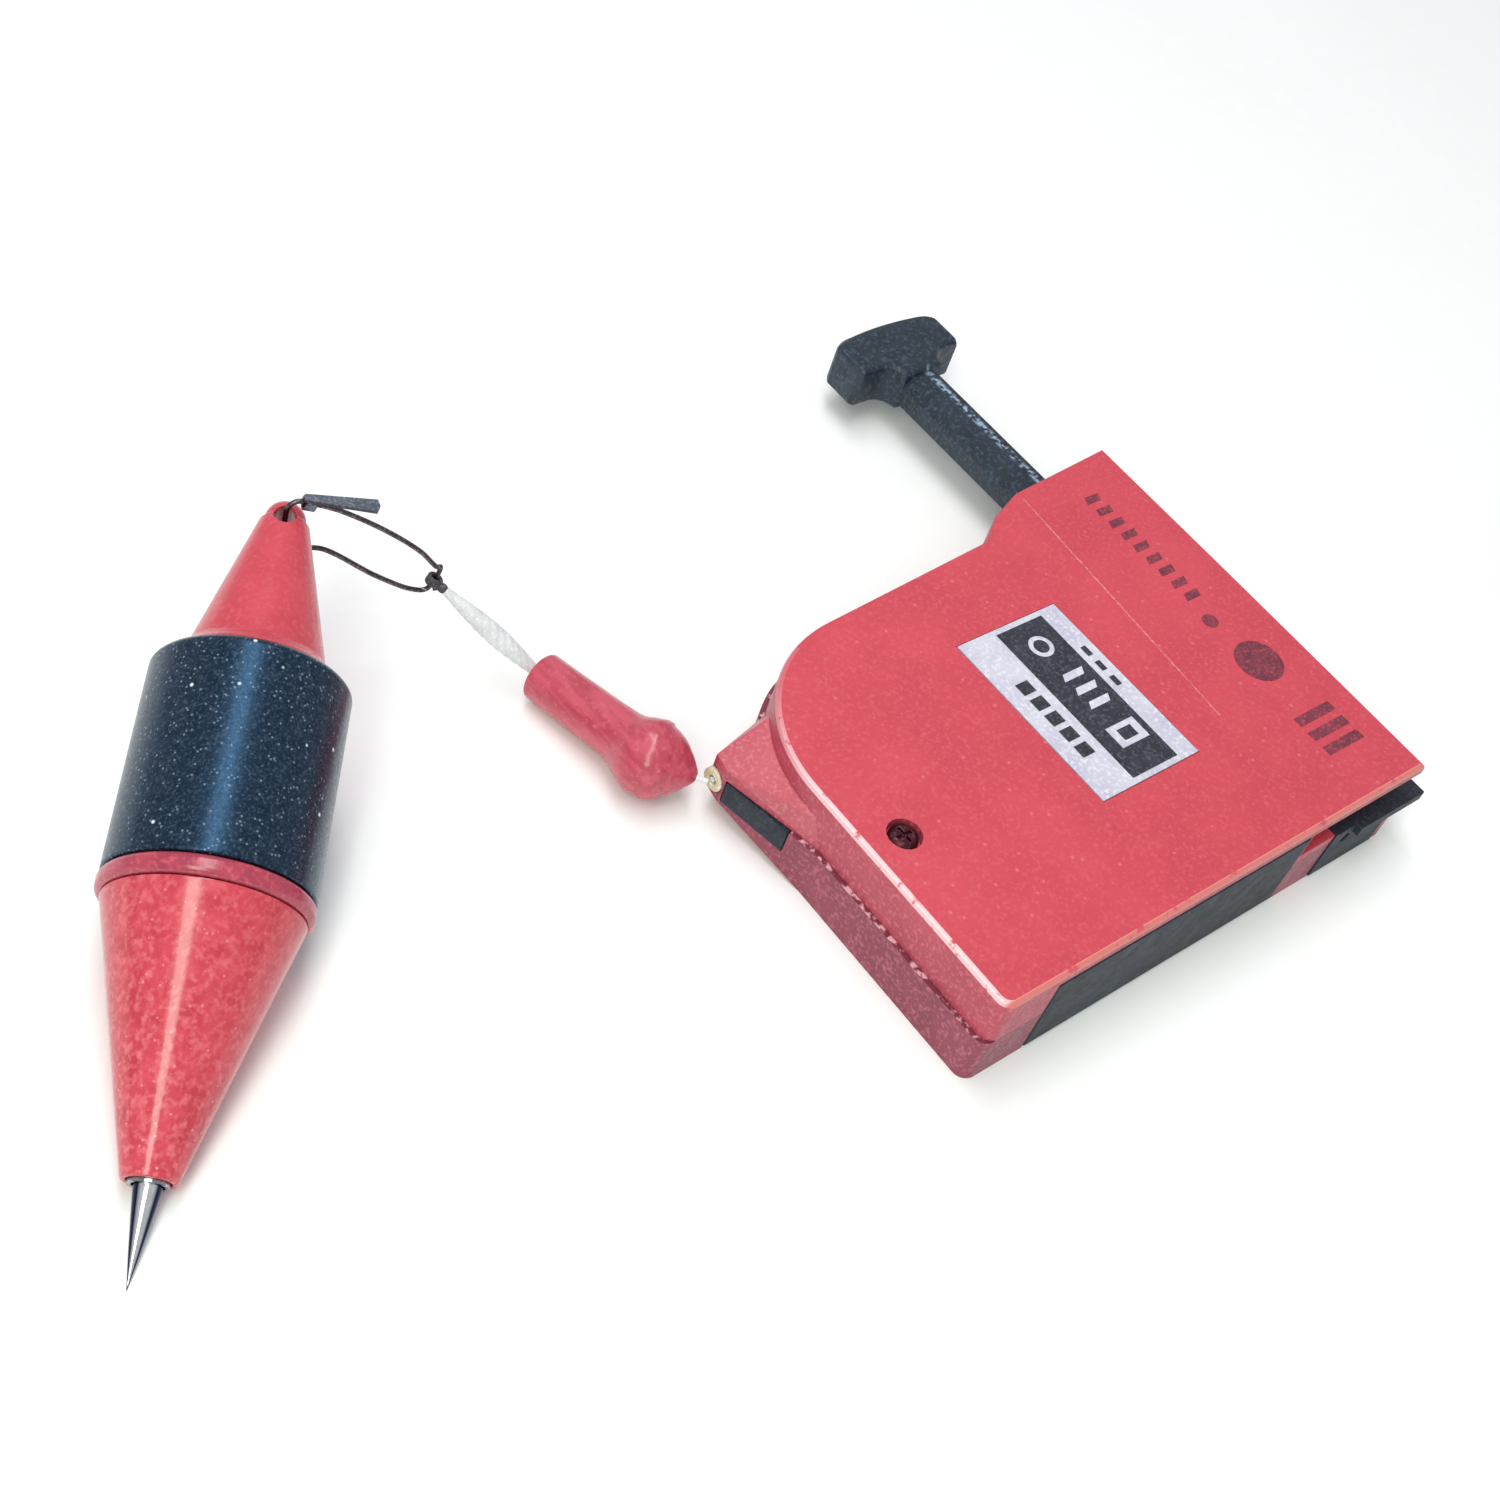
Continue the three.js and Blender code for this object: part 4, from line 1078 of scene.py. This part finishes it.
def lay_on_top(name, look, shapes, thickness):
    """Prints that follow the slope of the case's top face: each corner rests on the face below it."""
    shell = nodes["upper_shell"].data
    surface = BVHTree.FromPolygons([v.co for v in shell.vertices], [p.vertices for p in shell.polygons])

    def resting(x, y):
        return surface.ray_cast(Vector((x, y, 1)), -UP)[0].z

    def underside(x, y):
        return resting(x, y) - thickness

    def top(x, y):
        return resting(x, y) + thickness

    return raised(name, look, "case", shapes, (underside, top))


def build_band_marks():
    """Plain printed bars and blocks along the lower band of the top face, and a painted highlight along the
    band's step.
    """
    middle = 67.5 * MM
    row = [block(middle, (30 - 3.4 * i) * MM, 3.6 * MM, 1.7 * MM, 0.6 * MM) for i in range(9)]
    row.append(disc(middle - 1.4 * MM, -3.6 * MM, 1.6 * MM))
    large = [disc(middle, -15 * MM, 4.8 * MM)]
    large += [block(middle, (-29 - 3.6 * i) * MM, 9.6 * MM, 2 * MM) for i in range(3)]
    lay_on_top("band_marks", "mark_maroon", row + large, 0.05 * MM)

    # the fine raised line where the band begins, pale: a painted highlight of the step's edge
    step_x = (54.1 * MM, 50.3 * MM)
    step_y = (35.4 * MM, -21 * MM)
    width = 0.45 * MM
    line = [
        (step_x[0] - width, step_y[0]),
        (step_x[0], step_y[0]),
        (step_x[1], step_y[1]),
        (step_x[1] - width, step_y[1]),
    ]
    lay_on_top("band_step_highlight", "painted_step_highlight", [line], 0.06 * MM)


def build_plunger():
    refined("plunger_handle", "slate_plastic", "plunger", 0.45, 4)
    refined("needle_carrier", "plain_steel", "plunger", 0.2)
    for name in ("fixing_needle_1", "fixing_needle_2"):
        refined(name, "steel", "plunger", 0)


def dress_hidden_nodes():
    """The pieces inside the case and the bob keep their CAD shapes."""
    for node, look in {
        "reel_axle": "plain_steel",
        "line_run": "line",
        "reel_drum": "cream_plastic",
        "wound_line": "line",
        "power_spring": "plain_steel",
        "magnet_1": "magnet",
        "magnet_2": "magnet",
        "needle_collet": "plain_steel",
        "bob_weight": "plain_steel",
    }.items():
        nodes[node].data.materials.clear()
        nodes[node].data.materials.append(LOOKS[look])


# ---------------------------------------------------------------- floor, light and camera
def build_floor():
    size = 4.0
    floor = mesh_piece(
        "floor",
        [(-size, -size, 0), (size, -size, 0), (size, size, 0), (-size, size, 0)],
        [(0, 1, 2, 3)],
    )
    floor.location.z = cad_low.z - 0.05 * MM
    look = Look("floor_paper", 0.7)
    look.set("Base Color", mottled(look, rgb(250, 250, 250), rgb(251, 251, 251), rgb(252, 252, 252), 60, 5))
    floor.data.materials.append(look.done())


BOB_MIDDLE = Vector((-0.11, 0.03, 0.02))
LIGHT_DISTANCE = 0.9


def strip_light(name, direction, size, power, colour=(1, 1, 1)):
    """A softbox facing the bob from a direction, its long side turned along the bob."""
    lamp = bpy.data.lights.new(name, "AREA")
    lamp.shape = "RECTANGLE"
    lamp.size, lamp.size_y = size
    lamp.energy = power
    lamp.color = colour
    way = Vector(direction).normalized()
    long_side = (bob_axis - way * bob_axis.dot(way)).normalized()
    turn = Matrix((long_side.cross(way), long_side, way)).transposed()
    holder = bpy.data.objects.new(name, lamp)
    holder.location = BOB_MIDDLE + way * LIGHT_DISTANCE
    holder.rotation_mode = "QUATERNION"
    holder.rotation_quaternion = turn.to_quaternion()
    scene.collection.objects.link(holder)
    return holder


def build_lights():
    world = bpy.data.worlds.new("studio")
    world.use_nodes = True
    background = world.node_tree.nodes["Background"]
    background.inputs["Color"].default_value = (0.95, 0.97, 1.0, 1)
    background.inputs["Strength"].default_value = 0.5
    scene.world = world
    strip_light("overhead_strip", (0.0, 0.1, 0.99), (0.24, 1.0), 5.0)
    strip_light("camera_strip", (-0.6, -0.38, 0.7), (0.24, 0.7), 3.9, (0.88, 1.0, 0.86))


def build_camera():
    """A 53 mm lens from the upper left, rolled a little to the right."""
    azimuth, elevation, roll = (math.radians(a) for a in (-54.29, 46.97, 21.29))
    distance = 362.6 * MM
    target = Vector((-24.5, 16.3, 10)) * MM
    back = Vector(
        (
            math.sin(azimuth) * math.cos(elevation),
            -math.cos(azimuth) * math.cos(elevation),
            math.sin(elevation),
        )
    )
    camera = bpy.data.objects.new("camera", bpy.data.cameras.new("camera"))
    camera.data.lens = 52.8
    camera.data.sensor_width = 36
    camera.data.clip_start = 0.01
    camera.location = target + back * distance
    camera.rotation_mode = "QUATERNION"
    camera.rotation_quaternion = back.to_track_quat("Z", "Y") @ Quaternion((0, 0, 1), roll)
    scene.collection.objects.link(camera)
    scene.camera = camera


build_bob()
snout_point = build_stopper()
build_line(snout_point)
build_leader()
build_knot()
build_case()
build_plunger()
build_loop()
dress_hidden_nodes()
build_floor()
build_lights()
build_camera()
